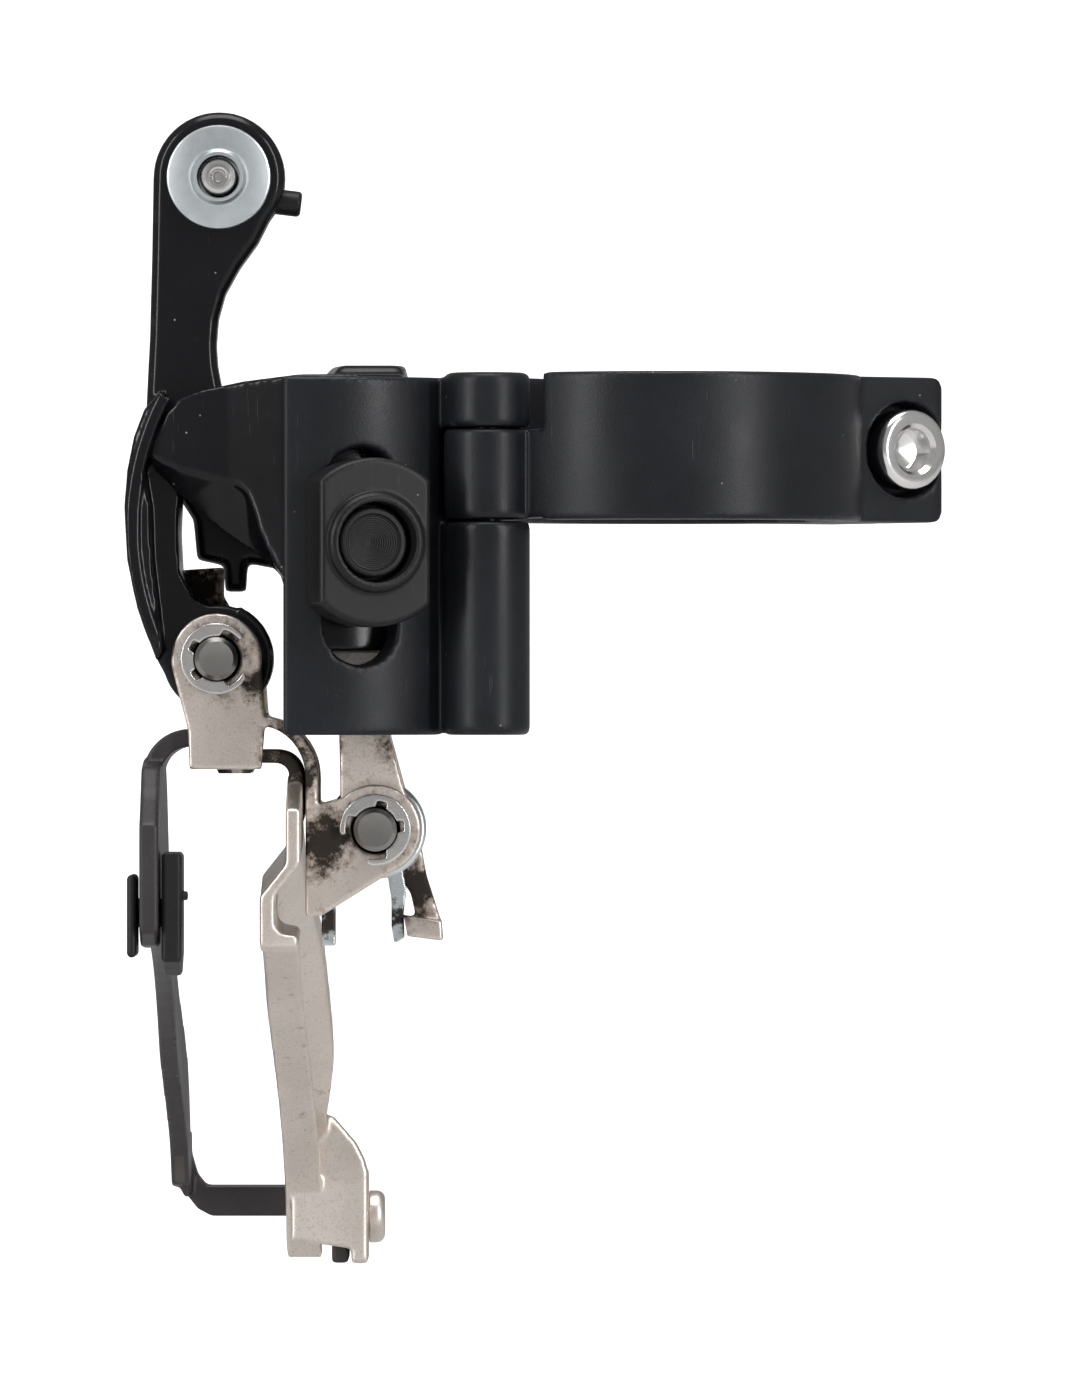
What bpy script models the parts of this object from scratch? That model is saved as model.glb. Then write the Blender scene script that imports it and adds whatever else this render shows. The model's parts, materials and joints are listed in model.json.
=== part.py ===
"""Front derailleur for a double road crankset, held on the seat tube by a hinged band.

Metres, +Z up. The origin is on the seat tube's axis, halfway up the band. +X points from the
cage towards the tube's far side and +Y points to the rear of the bicycle. At rest the cage is
over the small ring, against the low stop. The two links turn about axes that run along Y.
"""

import math

import bmesh
import bpy
from mathutils import Vector

MM = 0.001

# Seat tube and hinged band
TUBE_DIAMETER = 34.9
BAND_WALL = 3.2
BAND_HEIGHT = 15.4
SPLIT_TURN = 34.0
SPLIT_GAP = 0.8
HINGE_OUT = 5.15
KNUCKLE_RADIUS = 4.5
KNUCKLE_TOP = 1.8
HINGE_PIN_RADIUS = 1.5
LUG_LENGTH = 12.1
LUG_DEPTH = 9.5
BOLT_OUT = 7.05
BOLT_RADIUS = 2.5
BOLT_HEAD_RADIUS = 4.25
BOLT_HEAD_HEIGHT = 4.7
COUNTERBORE_RADIUS = 5.05
COUNTERBORE_DEPTH = 3.5

# Slotted tab that carries the mechanism
TAB_AXIS = (-37.4, 0.4)
TAB_FROM_HINGE = (-18.664, 13.038)
TAB_FRONT_RADIUS = 18.5
TAB_WALL = 3.6
TAB_FROM = -8.0
TAB_TO = 50.0
TAB_TOP = 7.2
TAB_BOTTOM = -30.1
SLOT_TURN = 18.0
SLOT_WIDTH = 7.9
SLOT_TOP = -0.25
SLOT_BOTTOM = -22.8
FIXING_HEIGHT = -10.1

# Double-D washer and its bolt
WASHER_RADIUS = 8.8
WASHER_FLAT = 6.0
WASHER_FRONT = 23.3
COLLAR_RADIUS = 5.2
COLLAR_HEIGHT = 0.9
WELL_RADIUS = 4.2
WELL_FLOOR = 20.3
FIXING_HEAD_RADIUS = 3.7
FIXING_HEAD_HEIGHT = 2.0

# Four link pivots, as (x, z)
OUTER_UPPER = (-48.9, 0.3)
OUTER_LOWER = (-47.0, -22.15)
INNER_LOWER = (-30.4, -40.0)
PIN_RADIUS = 2.25
CLIP_WIDTH = 1.25
UPPER_PIN_RADIUS = 1.9
EYE_RADIUS = 5.7
INNER_EYE_RADIUS = 4.3

# Layers of the mechanism along Y
BASE_FRONT = -12.0
EAR_FRONT = -10.5
SHEET = 1.5
LINK_FRONT = -8.7
LINK_REAR = 7.7
BASE_REAR = 9.9
BASE_BACK = 12.4

# Cable arm
CLAMP_POINT = (-46.85, 28.3)
ARM_HEAD_RADIUS = 6.9
ARM_FRONT = -6.0
ARM_THICKNESS = 5.6
CABLE_BOLT_RADIUS = 1.95
CABLE_WASHER_RADIUS = 5.45
NUB_RADIUS = 1.35
NUB_LENGTH = 4.5

# Cage
CAGE_OUTER_X = -53.8
OUTER_PLATE_WALL = 2.0
INNER_PLATE_X = -42.3
INNER_PLATE_WALL = 1.6
INNER_PLATE_LEAN = 2.7
FLANGE = 4.0
FLOOR_TOP = -28.15
FLOOR_WALL = 1.0
BRIDGE_WALL = 1.9
BRIDGE_BEND = 5.0
OUTER_BRIDGE_END = -43.6
INNER_BRIDGE_END = -49.0
INNER_BRIDGE_WALL = 1.4
RIVET_X = -45.2
RIVET_ROW = (-5.5, 5.0)
RIVET_RADIUS = 1.4
PAD_PEG = (-14.5, -48.6)
PEG_RADIUS = 1.5
TAIL_SCREW_Y = 71.5
TAIL_SCREW_Z = -83.9
TAIL_SCREW_RADIUS = 1.6
TAIL_TAB_LEFT = -36.3
TAIL_TAB_RIGHT = -34.4
TAIL_BLOCK_RIGHT = -32.2
TAIL_BAR_FRONT = 74.6
TAIL_BAR_REAR = 78.4
TAIL_TAB_BOTTOM = -89.0
TAIL_BAR_TOP = -80.6
TAIL_BAR_WALL = 3.4
TAIL_WALL_FRONT = 67.5
TAIL_DRIFT = 0.8
NOSE_Y = -19.5
TAIL_Y = 74.0
RING_RADIUS = 92.0
RING_CENTRE = -143.5
SPRING_RADIUS = 4.9
SPRING_WIRE = 1.5
SPRING_TURNS = 3
SPRING_START = -70.0
SPRING_FRONT = -5.8
SPRING_REAR = 4.6

# Limit screws, as (x, y)
LIMIT_SCREWS = ((-36.8, 6.2), (-30.6, 6.2))
LIMIT_SCREW_RADIUS = 1.5

# Clearances
FIT = 0.3
TURN_FIT = 0.35
BOLT_SWING = 0.9

BORE = TUBE_DIAMETER / 2
BAND_OUTER = BORE + BAND_WALL
HALF_BAND = BAND_HEIGHT / 2
HINGE_REACH = BORE + HINGE_OUT
BOLT_REACH = BORE + BOLT_OUT
LUG_REACH = BORE + LUG_LENGTH
TAB_BACK_RADIUS = TAB_FRONT_RADIUS - TAB_WALL
BOSS_RADIUS = TAB_BACK_RADIUS - FIT
OUTER_BRIDGE_TOP = FLOOR_TOP - FLOOR_WALL - FIT
INNER_BRIDGE_TOP = OUTER_BRIDGE_TOP - BRIDGE_WALL - FIT
BRACKET_X = INNER_PLATE_X + INNER_PLATE_LEAN + INNER_PLATE_WALL + FIT
QUARTER = [math.radians(90 * step / 8) for step in range(9)]
INNER_UPPER = (
    INNER_LOWER[0] + OUTER_UPPER[0] - OUTER_LOWER[0],
    INNER_LOWER[1] + OUTER_UPPER[1] - OUTER_LOWER[1],
)

ALONG_SPLIT = Vector((math.cos(math.radians(SPLIT_TURN)), math.sin(math.radians(SPLIT_TURN)), 0))
ACROSS_SPLIT = Vector((ALONG_SPLIT.y, -ALONG_SPLIT.x, 0))
UP = Vector((0, 0, 1))
REARWARD = Vector((0, 1, 0))
RIGHT = Vector((1, 0, 0))
STILL = Vector((0, 0, 0))
HINGE = -ALONG_SPLIT * HINGE_REACH
SLOT_WAY = Vector((math.sin(math.radians(SLOT_TURN)), -math.cos(math.radians(SLOT_TURN)), 0))
SLOT_SIDE = Vector((-SLOT_WAY.y, SLOT_WAY.x, 0))
TAB_CENTRE = Vector((TAB_AXIS[0], TAB_AXIS[1], 0))
NUB_WAY = Vector((0.99, 0, -0.12)).normalized()
NUB_FOOT = Vector((CLAMP_POINT[0] + 4.1, ARM_FRONT + 2.6, CLAMP_POINT[1] - 2.2))
# The tab and all that it carries move with the hinge when the tube's size changes.
CARRIED = Vector((HINGE.x + TAB_FROM_HINGE[0], HINGE.y + TAB_FROM_HINGE[1], 0)) - TAB_CENTRE


def clear_scene():
    for thing in list(bpy.data.objects):
        bpy.data.objects.remove(thing, do_unlink=True)


def arc(centre, radius, start, end, steps):
    """Points on a circle, from one angle to another in degrees."""
    points = []
    for step in range(steps + 1):
        angle = math.radians(start + (end - start) * step / steps)
        points.append((centre[0] + radius * math.cos(angle), centre[1] + radius * math.sin(angle)))
    return points


def circle(centre, radius, steps=32):
    return arc(centre, radius, 0, 360, steps)[:-1]


def rectangle(left, right, low, high):
    return [(left, low), (right, low), (right, high), (left, high)]


def inset(outline, distance):
    """The outline moved inwards by a distance. The outline runs anticlockwise."""
    count = len(outline)
    points = []
    for index in range(count):
        before = Vector(outline[index - 1])
        here = Vector(outline[index])
        after = Vector(outline[(index + 1) % count])
        first = (here - before).normalized()
        second = (after - here).normalized()
        normal_one = Vector((-first.y, first.x))
        normal_two = Vector((-second.y, second.x))
        middle = normal_one + normal_two
        scale = distance / max(0.35, 1 + normal_one.dot(normal_two))
        points.append(tuple(here + middle * scale))
    return points


def area(outline):
    total = 0
    for index in range(len(outline)):
        one, two = outline[index - 1], outline[index]
        total += one[0] * two[1] - two[0] * one[1]
    return total / 2


def mesh_of(work):
    bmesh.ops.recalc_face_normals(work, faces=work.faces)
    mesh = bpy.data.meshes.new("shape")
    work.to_mesh(mesh)
    work.free()
    return mesh


def extruded(outline, low, high, place, soft=0.0):
    """A bar with this outline. place(p, q, r) gives the point; soft is a chamfer at both ends."""
    if area(outline) < 0:
        outline = outline[::-1]
    levels = [(low, 0.0), (high, 0.0)]
    if soft:
        levels = [(low, soft), (low + soft, 0.0), (high - soft, 0.0), (high, soft)]
    work = bmesh.new()
    rings = []
    for height, shrink in levels:
        ring = []
        for p, q in inset(outline, shrink) if shrink else outline:
            ring.append(work.verts.new(Vector(place(p, q, height)) * MM))
        rings.append(ring)
    count = len(outline)
    for lower, upper in zip(rings, rings[1:]):
        for index in range(count):
            following = (index + 1) % count
            work.faces.new((lower[index], lower[following], upper[following], upper[index]))
    work.faces.new(rings[0][::-1])
    work.faces.new(rings[-1])
    return mesh_of(work)


def upright(outline, low, high, soft=0.0):
    """A bar along Z with an outline in X and Y."""
    return extruded(outline, low, high, lambda p, q, r: (p, q, r), soft)


def lengthwise(outline, front, rear, soft=0.0):
    """A bar along Y with an outline in X and Z."""
    return extruded(outline, front, rear, lambda p, q, r: (p, r, q), soft)


def sideways(outline, left, right, soft=0.0):
    """A bar along X with an outline in Y and Z."""
    return extruded(outline, left, right, lambda p, q, r: (r, p, q), soft)


def split_bar(outline, low, high, soft=0.0):
    """A bar along Z with an outline measured along and across the split of the band."""
    return extruded(
        outline, low, high, lambda p, q, r: ALONG_SPLIT * p + ACROSS_SPLIT * q + UP * r, soft
    )


def turned(profile, start, way, sides=32):
    """A turned piece. The profile lists (radius, distance along the axis)."""
    way = Vector(way).normalized()
    side = way.orthogonal().normalized()
    other = way.cross(side)
    start = Vector(start)
    work = bmesh.new()
    rings = []
    for radius, along in profile:
        centre = start + way * along
        ring = []
        for index in range(sides):
            angle = 2 * math.pi * index / sides
            offset = side * math.cos(angle) + other * math.sin(angle)
            ring.append(work.verts.new((centre + offset * radius) * MM))
        rings.append(ring)
    for lower, upper in zip(rings, rings[1:]):
        for index in range(sides):
            following = (index + 1) % sides
            work.faces.new((lower[index], lower[following], upper[following], upper[index]))
    work.faces.new(rings[0][::-1])
    work.faces.new(rings[-1])
    return mesh_of(work)


def rod(start, way, low, high, radius, sides=32, soft=0.0):
    if soft:
        profile = [(radius - soft, low), (radius, low + soft), (radius, high - soft), (radius - soft, high)]
    else:
        profile = [(radius, low), (radius, high)]
    return turned(profile, start, way, sides)


def hexagon_bar(start, way, low, high, flats):
    return turned([(flats / math.sqrt(3), low), (flats / math.sqrt(3), high)], start, way, 6)


def tube_along(points, radius, sides=8):
    """A wire of round section through the points."""
    work = bmesh.new()
    rings = []
    normal = None
    for index, point in enumerate(points):
        before = points[max(0, index - 1)]
        after = points[min(len(points) - 1, index + 1)]
        way = (after - before).normalized()
        if normal is None:
            normal = way.orthogonal().normalized()
        normal = (normal - way * normal.dot(way)).normalized()
        other = way.cross(normal)
        ring = []
        for step in range(sides):
            angle = 2 * math.pi * step / sides
            offset = normal * math.cos(angle) + other * math.sin(angle)
            ring.append(work.verts.new((point + offset * radius) * MM))
        rings.append(ring)
    for lower, upper in zip(rings, rings[1:]):
        for step in range(sides):
            following = (step + 1) % sides
            work.faces.new((lower[step], lower[following], upper[following], upper[step]))
    work.faces.new(rings[0][::-1])
    work.faces.new(rings[-1])
    return mesh_of(work)


MATERIALS = {}


def material(name, colour, roughness, metallic):
    if name not in MATERIALS:
        made = bpy.data.materials.new(name)
        made.use_nodes = True
        shader = made.node_tree.nodes["Principled BSDF"]
        shader.inputs["Base Color"].default_value = (*colour, 1)
        shader.inputs["Roughness"].default_value = roughness
        shader.inputs["Metallic"].default_value = metallic
        MATERIALS[name] = made
    return MATERIALS[name]


ANODISED = ("black anodised aluminium", (0.012, 0.013, 0.016), 0.38, 0.6)
PAINTED = ("gloss black alloy", (0.008, 0.008, 0.010), 0.16, 0.3)
OXIDE = ("black oxide steel", (0.02, 0.02, 0.022), 0.42, 0.7)
CHROME = ("chromed steel", (0.72, 0.73, 0.75), 0.16, 1.0)
ZINC = ("zinc plated steel", (0.62, 0.66, 0.70), 0.34, 1.0)
NICKEL = ("satin nickel steel", (0.60, 0.55, 0.50), 0.36, 1.0)
DARK_STEEL = ("dark polished steel", (0.25, 0.24, 0.24), 0.28, 1.0)
DARK_PLATE = ("black coated steel", (0.03, 0.03, 0.034), 0.5, 0.4)
PLASTIC = ("black plastic", (0.012, 0.012, 0.014), 0.5, 0.0)


def solid(name, look, origin, add, cut=(), moved=CARRIED):
    """One piece: the first mesh, joined with the rest of add, less everything in cut."""
    base = bpy.data.objects.new("work", add[0])
    bpy.context.scene.collection.objects.link(base)
    helpers = []
    jobs = [(mesh, "UNION") for mesh in add[1:]]
    jobs += [(mesh, "DIFFERENCE") for mesh in cut]
    for mesh, operation in jobs:
        helper = bpy.data.objects.new("helper", mesh)
        bpy.context.scene.collection.objects.link(helper)
        helpers.append(helper)
        step = base.modifiers.new(operation, "BOOLEAN")
        step.operation = operation
        step.solver = "EXACT"
        step.object = helper
    graph = bpy.context.evaluated_depsgraph_get()
    made = bpy.data.meshes.new_from_object(base.evaluated_get(graph))
    for thing in helpers + [base]:
        bpy.data.objects.remove(thing, do_unlink=True)
    work = bmesh.new()
    work.from_mesh(made)
    bmesh.ops.remove_doubles(work, verts=work.verts, dist=0.000002)
    bmesh.ops.dissolve_degenerate(work, edges=work.edges, dist=0.000002)
    bmesh.ops.translate(work, verts=work.verts, vec=-Vector(origin) * MM)
    work.to_mesh(made)
    work.free()
    made.name = name
    made.materials.clear()
    made.materials.append(material(*look))
    made.shade_smooth()
    made.set_sharp_from_angle(angle=math.radians(30))
    piece = bpy.data.objects.new(name, made)
    piece.location = (Vector(origin) + moved) * MM
    bpy.context.scene.collection.objects.link(piece)
    return piece


def at(pivot, y=0.0):
    return Vector((pivot[0], y, pivot[1]))


def split_point(along, across, height=0.0):
    return ALONG_SPLIT * along + ACROSS_SPLIT * across + UP * height


def half_ring(side, gap, hinge_edge):
    """Half of the band with its lug, measured along and across the split. side is +1 or -1."""
    inner_turn = math.degrees(math.asin(gap / BORE))
    outer_turn = 180 - math.degrees(math.asin(hinge_edge / BAND_OUTER))
    inner_end = 180 - math.degrees(math.asin(hinge_edge / BORE))
    lug_turn = math.degrees(math.asin(LUG_DEPTH / BAND_OUTER))
    outline = arc((0, 0), BORE, inner_turn, inner_end, 28)
    outline += arc((0, 0), BAND_OUTER, outer_turn, lug_turn, 28)
    corner = 1.0
    outline += [(LUG_REACH - corner, LUG_DEPTH), (LUG_REACH, LUG_DEPTH - corner), (LUG_REACH, gap)]
    return [(p, q * side) for p, q in outline]


def make_clamp_body():
    gap = SPLIT_GAP / 2
    ring = split_bar(half_ring(-1, gap, gap), -HALF_BAND, HALF_BAND, 0.7)
    room = split_bar(circle((-HINGE_REACH, 0), KNUCKLE_RADIUS + 0.5, 40), -HALF_BAND - FIT, KNUCKLE_TOP + FIT)
    tab_centre = TAB_CENTRE + CARRIED
    tab = upright(
        arc(tab_centre, TAB_FRONT_RADIUS, TAB_FROM - 90, TAB_TO - 90, 18)
        + arc(tab_centre, TAB_BACK_RADIUS, TAB_TO - 90, TAB_FROM - 90, 18),
        TAB_BOTTOM,
        TAB_TOP,
        0.9,
    )
    column = upright(circle(HINGE.xy, KNUCKLE_RADIUS, 36), TAB_BOTTOM, -HALF_BAND - FIT, 0.9)
    knuckle = upright(circle(HINGE.xy, KNUCKLE_RADIUS, 36), KNUCKLE_TOP + FIT, HALF_BAND, 0.9)
    web_from_hinge = [(-6.66, 2.94), (-3.86, -0.56), (-0.66, 2.24), (1.04, 7.24), (-0.16, 11.64), (-4.66, 7.44)]
    web = upright([(HINGE.x + p, HINGE.y + q) for p, q in web_from_hinge], TAB_BOTTOM + 1.0, TAB_TOP - 0.2)
    slot = SLOT_WIDTH / 2
    slot_outline = arc((0, SLOT_TOP - slot), slot, 0, 180, 14)
    slot_outline += arc((0, SLOT_BOTTOM + slot), slot, 180, 360, 14)
    slot_cut = extruded(
        slot_outline,
        TAB_BACK_RADIUS - 3,
        TAB_FRONT_RADIUS + 3,
        lambda p, q, r: tab_centre + SLOT_SIDE * p + SLOT_WAY * r + UP * q,
    )
    bore = rod((0, 0, 0), UP, TAB_BOTTOM - 1, HALF_BAND + 1, BORE, 56)
    pin_hole = rod(HINGE, UP, -17.0, HALF_BAND + 1, HINGE_PIN_RADIUS + FIT, 24)
    bolt_hole = rod(split_point(BOLT_REACH, 0), ACROSS_SPLIT, -LUG_DEPTH - 1, 1, BOLT_RADIUS + BOLT_SWING, 28)
    solid("clamp_body", ANODISED, (0, 0, 0), [tab, column, knuckle, ring, web],
          [room, slot_cut, bore, pin_hole, bolt_hole], moved=STILL)


def make_clamp_band():
    gap = SPLIT_GAP / 2
    full = split_bar(half_ring(1, gap, 6.0), -HALF_BAND, HALF_BAND, 0.7)
    root = arc((0, 0), BORE, 150, 180 - math.degrees(math.asin(gap / BORE)), 6)
    root += arc((0, 0), BAND_OUTER, 180 - math.degrees(math.asin(gap / BAND_OUTER)), 150, 6)
    low_part = split_bar(root, -HALF_BAND + 0.2, KNUCKLE_TOP)
    eye = split_bar(circle((-HINGE_REACH, 0), KNUCKLE_RADIUS, 36), -HALF_BAND + 0.2, KNUCKLE_TOP, 0.6)
    pin_hole = rod(HINGE, UP, -HALF_BAND - 1, KNUCKLE_TOP + 1, HINGE_PIN_RADIUS + FIT, 24)
    bolt_hole = rod(split_point(BOLT_REACH, 0), ACROSS_SPLIT, 0, LUG_DEPTH + 1, BOLT_RADIUS + FIT, 24)
    seat = rod(
        split_point(BOLT_REACH, 0), ACROSS_SPLIT, LUG_DEPTH - COUNTERBORE_DEPTH, LUG_DEPTH + 1,
        COUNTERBORE_RADIUS, 36,
    )
    solid("clamp_band", ANODISED, HINGE, [full, low_part, eye], [pin_hole, bolt_hole, seat], moved=STILL)


def make_clamp_fasteners():
    pin = rod(HINGE, UP, -16.5, HALF_BAND - 0.4, HINGE_PIN_RADIUS, 24, 0.2)
    solid("hinge_pin", DARK_STEEL, HINGE, [pin], moved=STILL)
    foot = split_point(BOLT_REACH, 0)
    seat = LUG_DEPTH - COUNTERBORE_DEPTH + FIT
    head_top = seat + BOLT_HEAD_HEIGHT
    body = turned(
        [
            (BOLT_RADIUS - 0.4, -LUG_DEPTH + 2.0),
            (BOLT_RADIUS, -LUG_DEPTH + 2.4),
            (BOLT_RADIUS, seat),
            (BOLT_HEAD_RADIUS, seat),
            (BOLT_HEAD_RADIUS, head_top - 0.6),
            (BOLT_HEAD_RADIUS - 0.6, head_top),
        ],
        foot,
        ACROSS_SPLIT,
        36,
    )
    socket = hexagon_bar(foot, ACROSS_SPLIT, head_top - 2.4, head_top + 1, 4.0)
    solid("clamp_bolt", CHROME, foot, [body], [socket], moved=STILL)


def fixing_point(out):
    return TAB_CENTRE + SLOT_WAY * out + UP * FIXING_HEIGHT


def make_fixing():
    half_height = math.degrees(math.asin(WASHER_FLAT / WASHER_RADIUS))
    outline = arc((0, 0), WASHER_RADIUS, 90 - half_height, 90 + half_height, 12)
    outline += arc((0, 0), WASHER_RADIUS, 270 - half_height, 270 + half_height, 12)

    def place(p, q, r):
        return fixing_point(r) + SLOT_SIDE * p + UP * q

    plate = extruded(outline, TAB_FRONT_RADIUS - 2, WASHER_FRONT, place, 0.35)
    collar_top = WASHER_FRONT + COLLAR_HEIGHT
    collar = rod(fixing_point(0), SLOT_WAY, WASHER_FRONT - 1, collar_top, COLLAR_RADIUS, 36, 0.4)
    well = rod(fixing_point(0), SLOT_WAY, WELL_FLOOR, WASHER_FRONT + 3, WELL_RADIUS, 36)
    hollow = rod(TAB_CENTRE, UP, FIXING_HEIGHT - 12, FIXING_HEIGHT + 12, TAB_FRONT_RADIUS + FIT, 72)
    hole = rod(fixing_point(0), SLOT_WAY, 10, WASHER_FRONT, BOLT_RADIUS + FIT, 24)
    solid("radius_washer", OXIDE, fixing_point(WASHER_FRONT), [plate, collar], [hollow, well, hole])

    seat = WELL_FLOOR + FIT
    head_top = seat + FIXING_HEAD_HEIGHT
    bolt = turned(
        [
            (BOLT_RADIUS, 6.5),
            (BOLT_RADIUS, seat),
            (FIXING_HEAD_RADIUS, seat),
            (FIXING_HEAD_RADIUS, head_top - 0.5),
            (FIXING_HEAD_RADIUS - 0.5, head_top),
            (2.6, head_top - 0.6),
            (0.4, head_top - 1.3),
        ],
        fixing_point(0),
        SLOT_WAY,
        32,
    )
    solid("mounting_bolt", OXIDE, fixing_point(seat), [bolt])


def lofted(sections):
    """A body through closed sections, each a list of the same number of points."""
    work = bmesh.new()
    rings = []
    for section in sections:
        rings.append([work.verts.new(Vector(point) * MM) for point in section])
    count = len(rings[0])
    for lower, upper in zip(rings, rings[1:]):
        for index in range(count):
            following = (index + 1) % count
            work.faces.new((lower[index], lower[following], upper[following], upper[index]))
    work.faces.new(rings[0][::-1])
    work.faces.new(rings[-1])
    return mesh_of(work)


def less(first, second):
    """The first mesh less the second."""
    base = bpy.data.objects.new("work", first)
    helper = bpy.data.objects.new("helper", second)
    for thing in (base, helper):
        bpy.context.scene.collection.objects.link(thing)
    step = base.modifiers.new("cut", "BOOLEAN")
    step.operation = "DIFFERENCE"
    step.solver = "EXACT"
    step.object = helper
    graph = bpy.context.evaluated_depsgraph_get()
    made = bpy.data.meshes.new_from_object(base.evaluated_get(graph))
    for thing in (base, helper):
        bpy.data.objects.remove(thing, do_unlink=True)
    return made


def base_front():
    """The front wall. Its lower edge has a wide sloping facet between two outlines."""
    rest = [(-38.3, -16.0), (-36.0, -21.5), (-28.0, -21.5), (-27.0, 7.6), (-38.3, 7.5), (-44.1, 6.8)]
    rest += [(-48.5, 5.9), (-50.8, 5.0), (-52.3, 3.5), (-53.4, 1.6), (-54.1, 0.4)]
    face = [(-54.3, -0.8), (-52.7, -1.6), (-51.3, -2.2), (-48.9, -2.9), (-46.7, -3.6), (-45.1, -4.0)]
    face += [(-43.9, -4.8), (-43.2, -6.5), (-42.6, -8.6), (-41.8, -10.5), (-40.6, -12.7)]
    facet = [(-54.2, -1.3), (-53.5, -2.6), (-51.9, -4.2), (-50.4, -5.6), (-48.1, -7.9), (-46.2, -9.3)]
    facet += [(-44.6, -10.4), (-43.4, -11.1), (-42.4, -11.8), (-41.6, -12.5), (-40.5, -13.4)]
    sections = []
    for outline, y in ((face, -15.0), (face, BASE_FRONT - 0.1), (facet, LINK_FRONT - FIT)):
        sections.append([(x, y, z) for x, z in outline + rest])
    plan = [(-60.0, BASE_FRONT + 1.9), (-51.3, BASE_FRONT), (-46.0, BASE_FRONT - 0.2)]
    plan += arc(TAB_AXIS, BOSS_RADIUS, -100, -47, 14)
    plan += [(-26.6, BASE_BACK + 1), (-60.0, BASE_BACK + 1)]
    in_front = less(upright(rectangle(-70, -20, -30, 20), -29, 14), upright(plan, -30, 15))
    return lofted(sections), in_front


def make_base_bracket():
    front_wall, in_front = base_front()
    block = lengthwise(
        [(-28.0, -8.6), (-27.0, 7.6), (-38.3, 7.5), (-40.2, 7.2), (-42.2, 2.0), (-42.6, -8.6)],
        LINK_FRONT - FIT - 0.5,
        BASE_REAR + 0.5,
    )
    bump = upright(
        [(-34.6, -8.0), (-27.6, -8.0), (-26.6, -5.0), (-27.6, 3.0), (-34.6, 3.0), (-35.6, -2.0)], 4.0, 8.6, 0.7
    )
    rear_outline = [(-28.0, -21.5), (-27.0, 7.6), (-38.3, 7.5), (-46.4, 5.6)]
    rear_outline += arc(OUTER_UPPER, 5.0, 95, 205, 10)
    rear_outline += [(-51.3, -5.4), (-50.0, -7.4), (-49.6, -11.6), (-46.8, -12.2), (-46.6, -15.0)]
    rear_outline += [(-44.4, -15.0), (-44.2, -12.0), (-41.0, -12.6), (-38.0, -21.5)]
    rear_wall = lengthwise(rear_outline, BASE_REAR, BASE_BACK, 0.5)
    cuts = [in_front]
    for pivot in (OUTER_UPPER, INNER_UPPER):
        cuts.append(rod(at(pivot), REARWARD, -10.6, BASE_BACK + 1, UPPER_PIN_RADIUS + FIT, 24))
    cuts.append(rod(fixing_point(0), SLOT_WAY, 5.5, 20, BOLT_RADIUS + FIT, 24))
    for x, y in LIMIT_SCREWS:
        cuts.append(rod((x, y, 0), UP, -12, 6, LIMIT_SCREW_RADIUS + FIT, 20))
        cuts.append(rod((x, y, 0), UP, 4.9, 12, 2 * LIMIT_SCREW_RADIUS, 24))
    solid("base_bracket", PAINTED, at(OUTER_UPPER), [block, front_wall, rear_wall, bump], cuts)


def make_limit_screws():
    radius = LIMIT_SCREW_RADIUS
    for name, (x, y) in zip(("low_limit_screw", "high_limit_screw"), LIMIT_SCREWS):
        body = turned(
            [
                (radius - 0.3, -11.0),
                (radius, -10.7),
                (radius, 5.2),
                (radius + 1.1, 5.2),
                (radius + 1.1, 6.7),
                (radius + 0.7, 7.1),
            ],
            (x, y, 0),
            UP,
            24,
        )
        cross = []
        for long, wide in ((1.7, 0.3), (0.3, 1.7)):
            cross.append(upright(rectangle(x - long, x + long, y - wide, y + wide), 6.1, 8))
        solid(name, DARK_STEEL, (x, y, 0), [body], cross)


def arm_shape():
    """The cable arm's head, and its blade with a waist below the head."""
    head = lengthwise(circle(CLAMP_POINT, ARM_HEAD_RADIUS, 48), ARM_FRONT, ARM_FRONT + ARM_THICKNESS, 0.7)
    outline = [(-53.75, 28.3), (-53.9, 20.0), (-54.1, 12.0), (-54.5, 4.0), (-53.4, -0.5), (-45.0, -1.0)]
    outline += [(-46.6, 6.4), (-47.0, 8.5), (-47.15, 10.7), (-46.95, 13.4), (-46.2, 16.1), (-44.7, 18.8)]
    outline += [(-42.8, 21.4), (-41.3, 24.4), (-42.0, 28.3)]
    blade = lengthwise(outline, ARM_FRONT, ARM_FRONT + ARM_THICKNESS, 0.7)
    return head, blade


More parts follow.
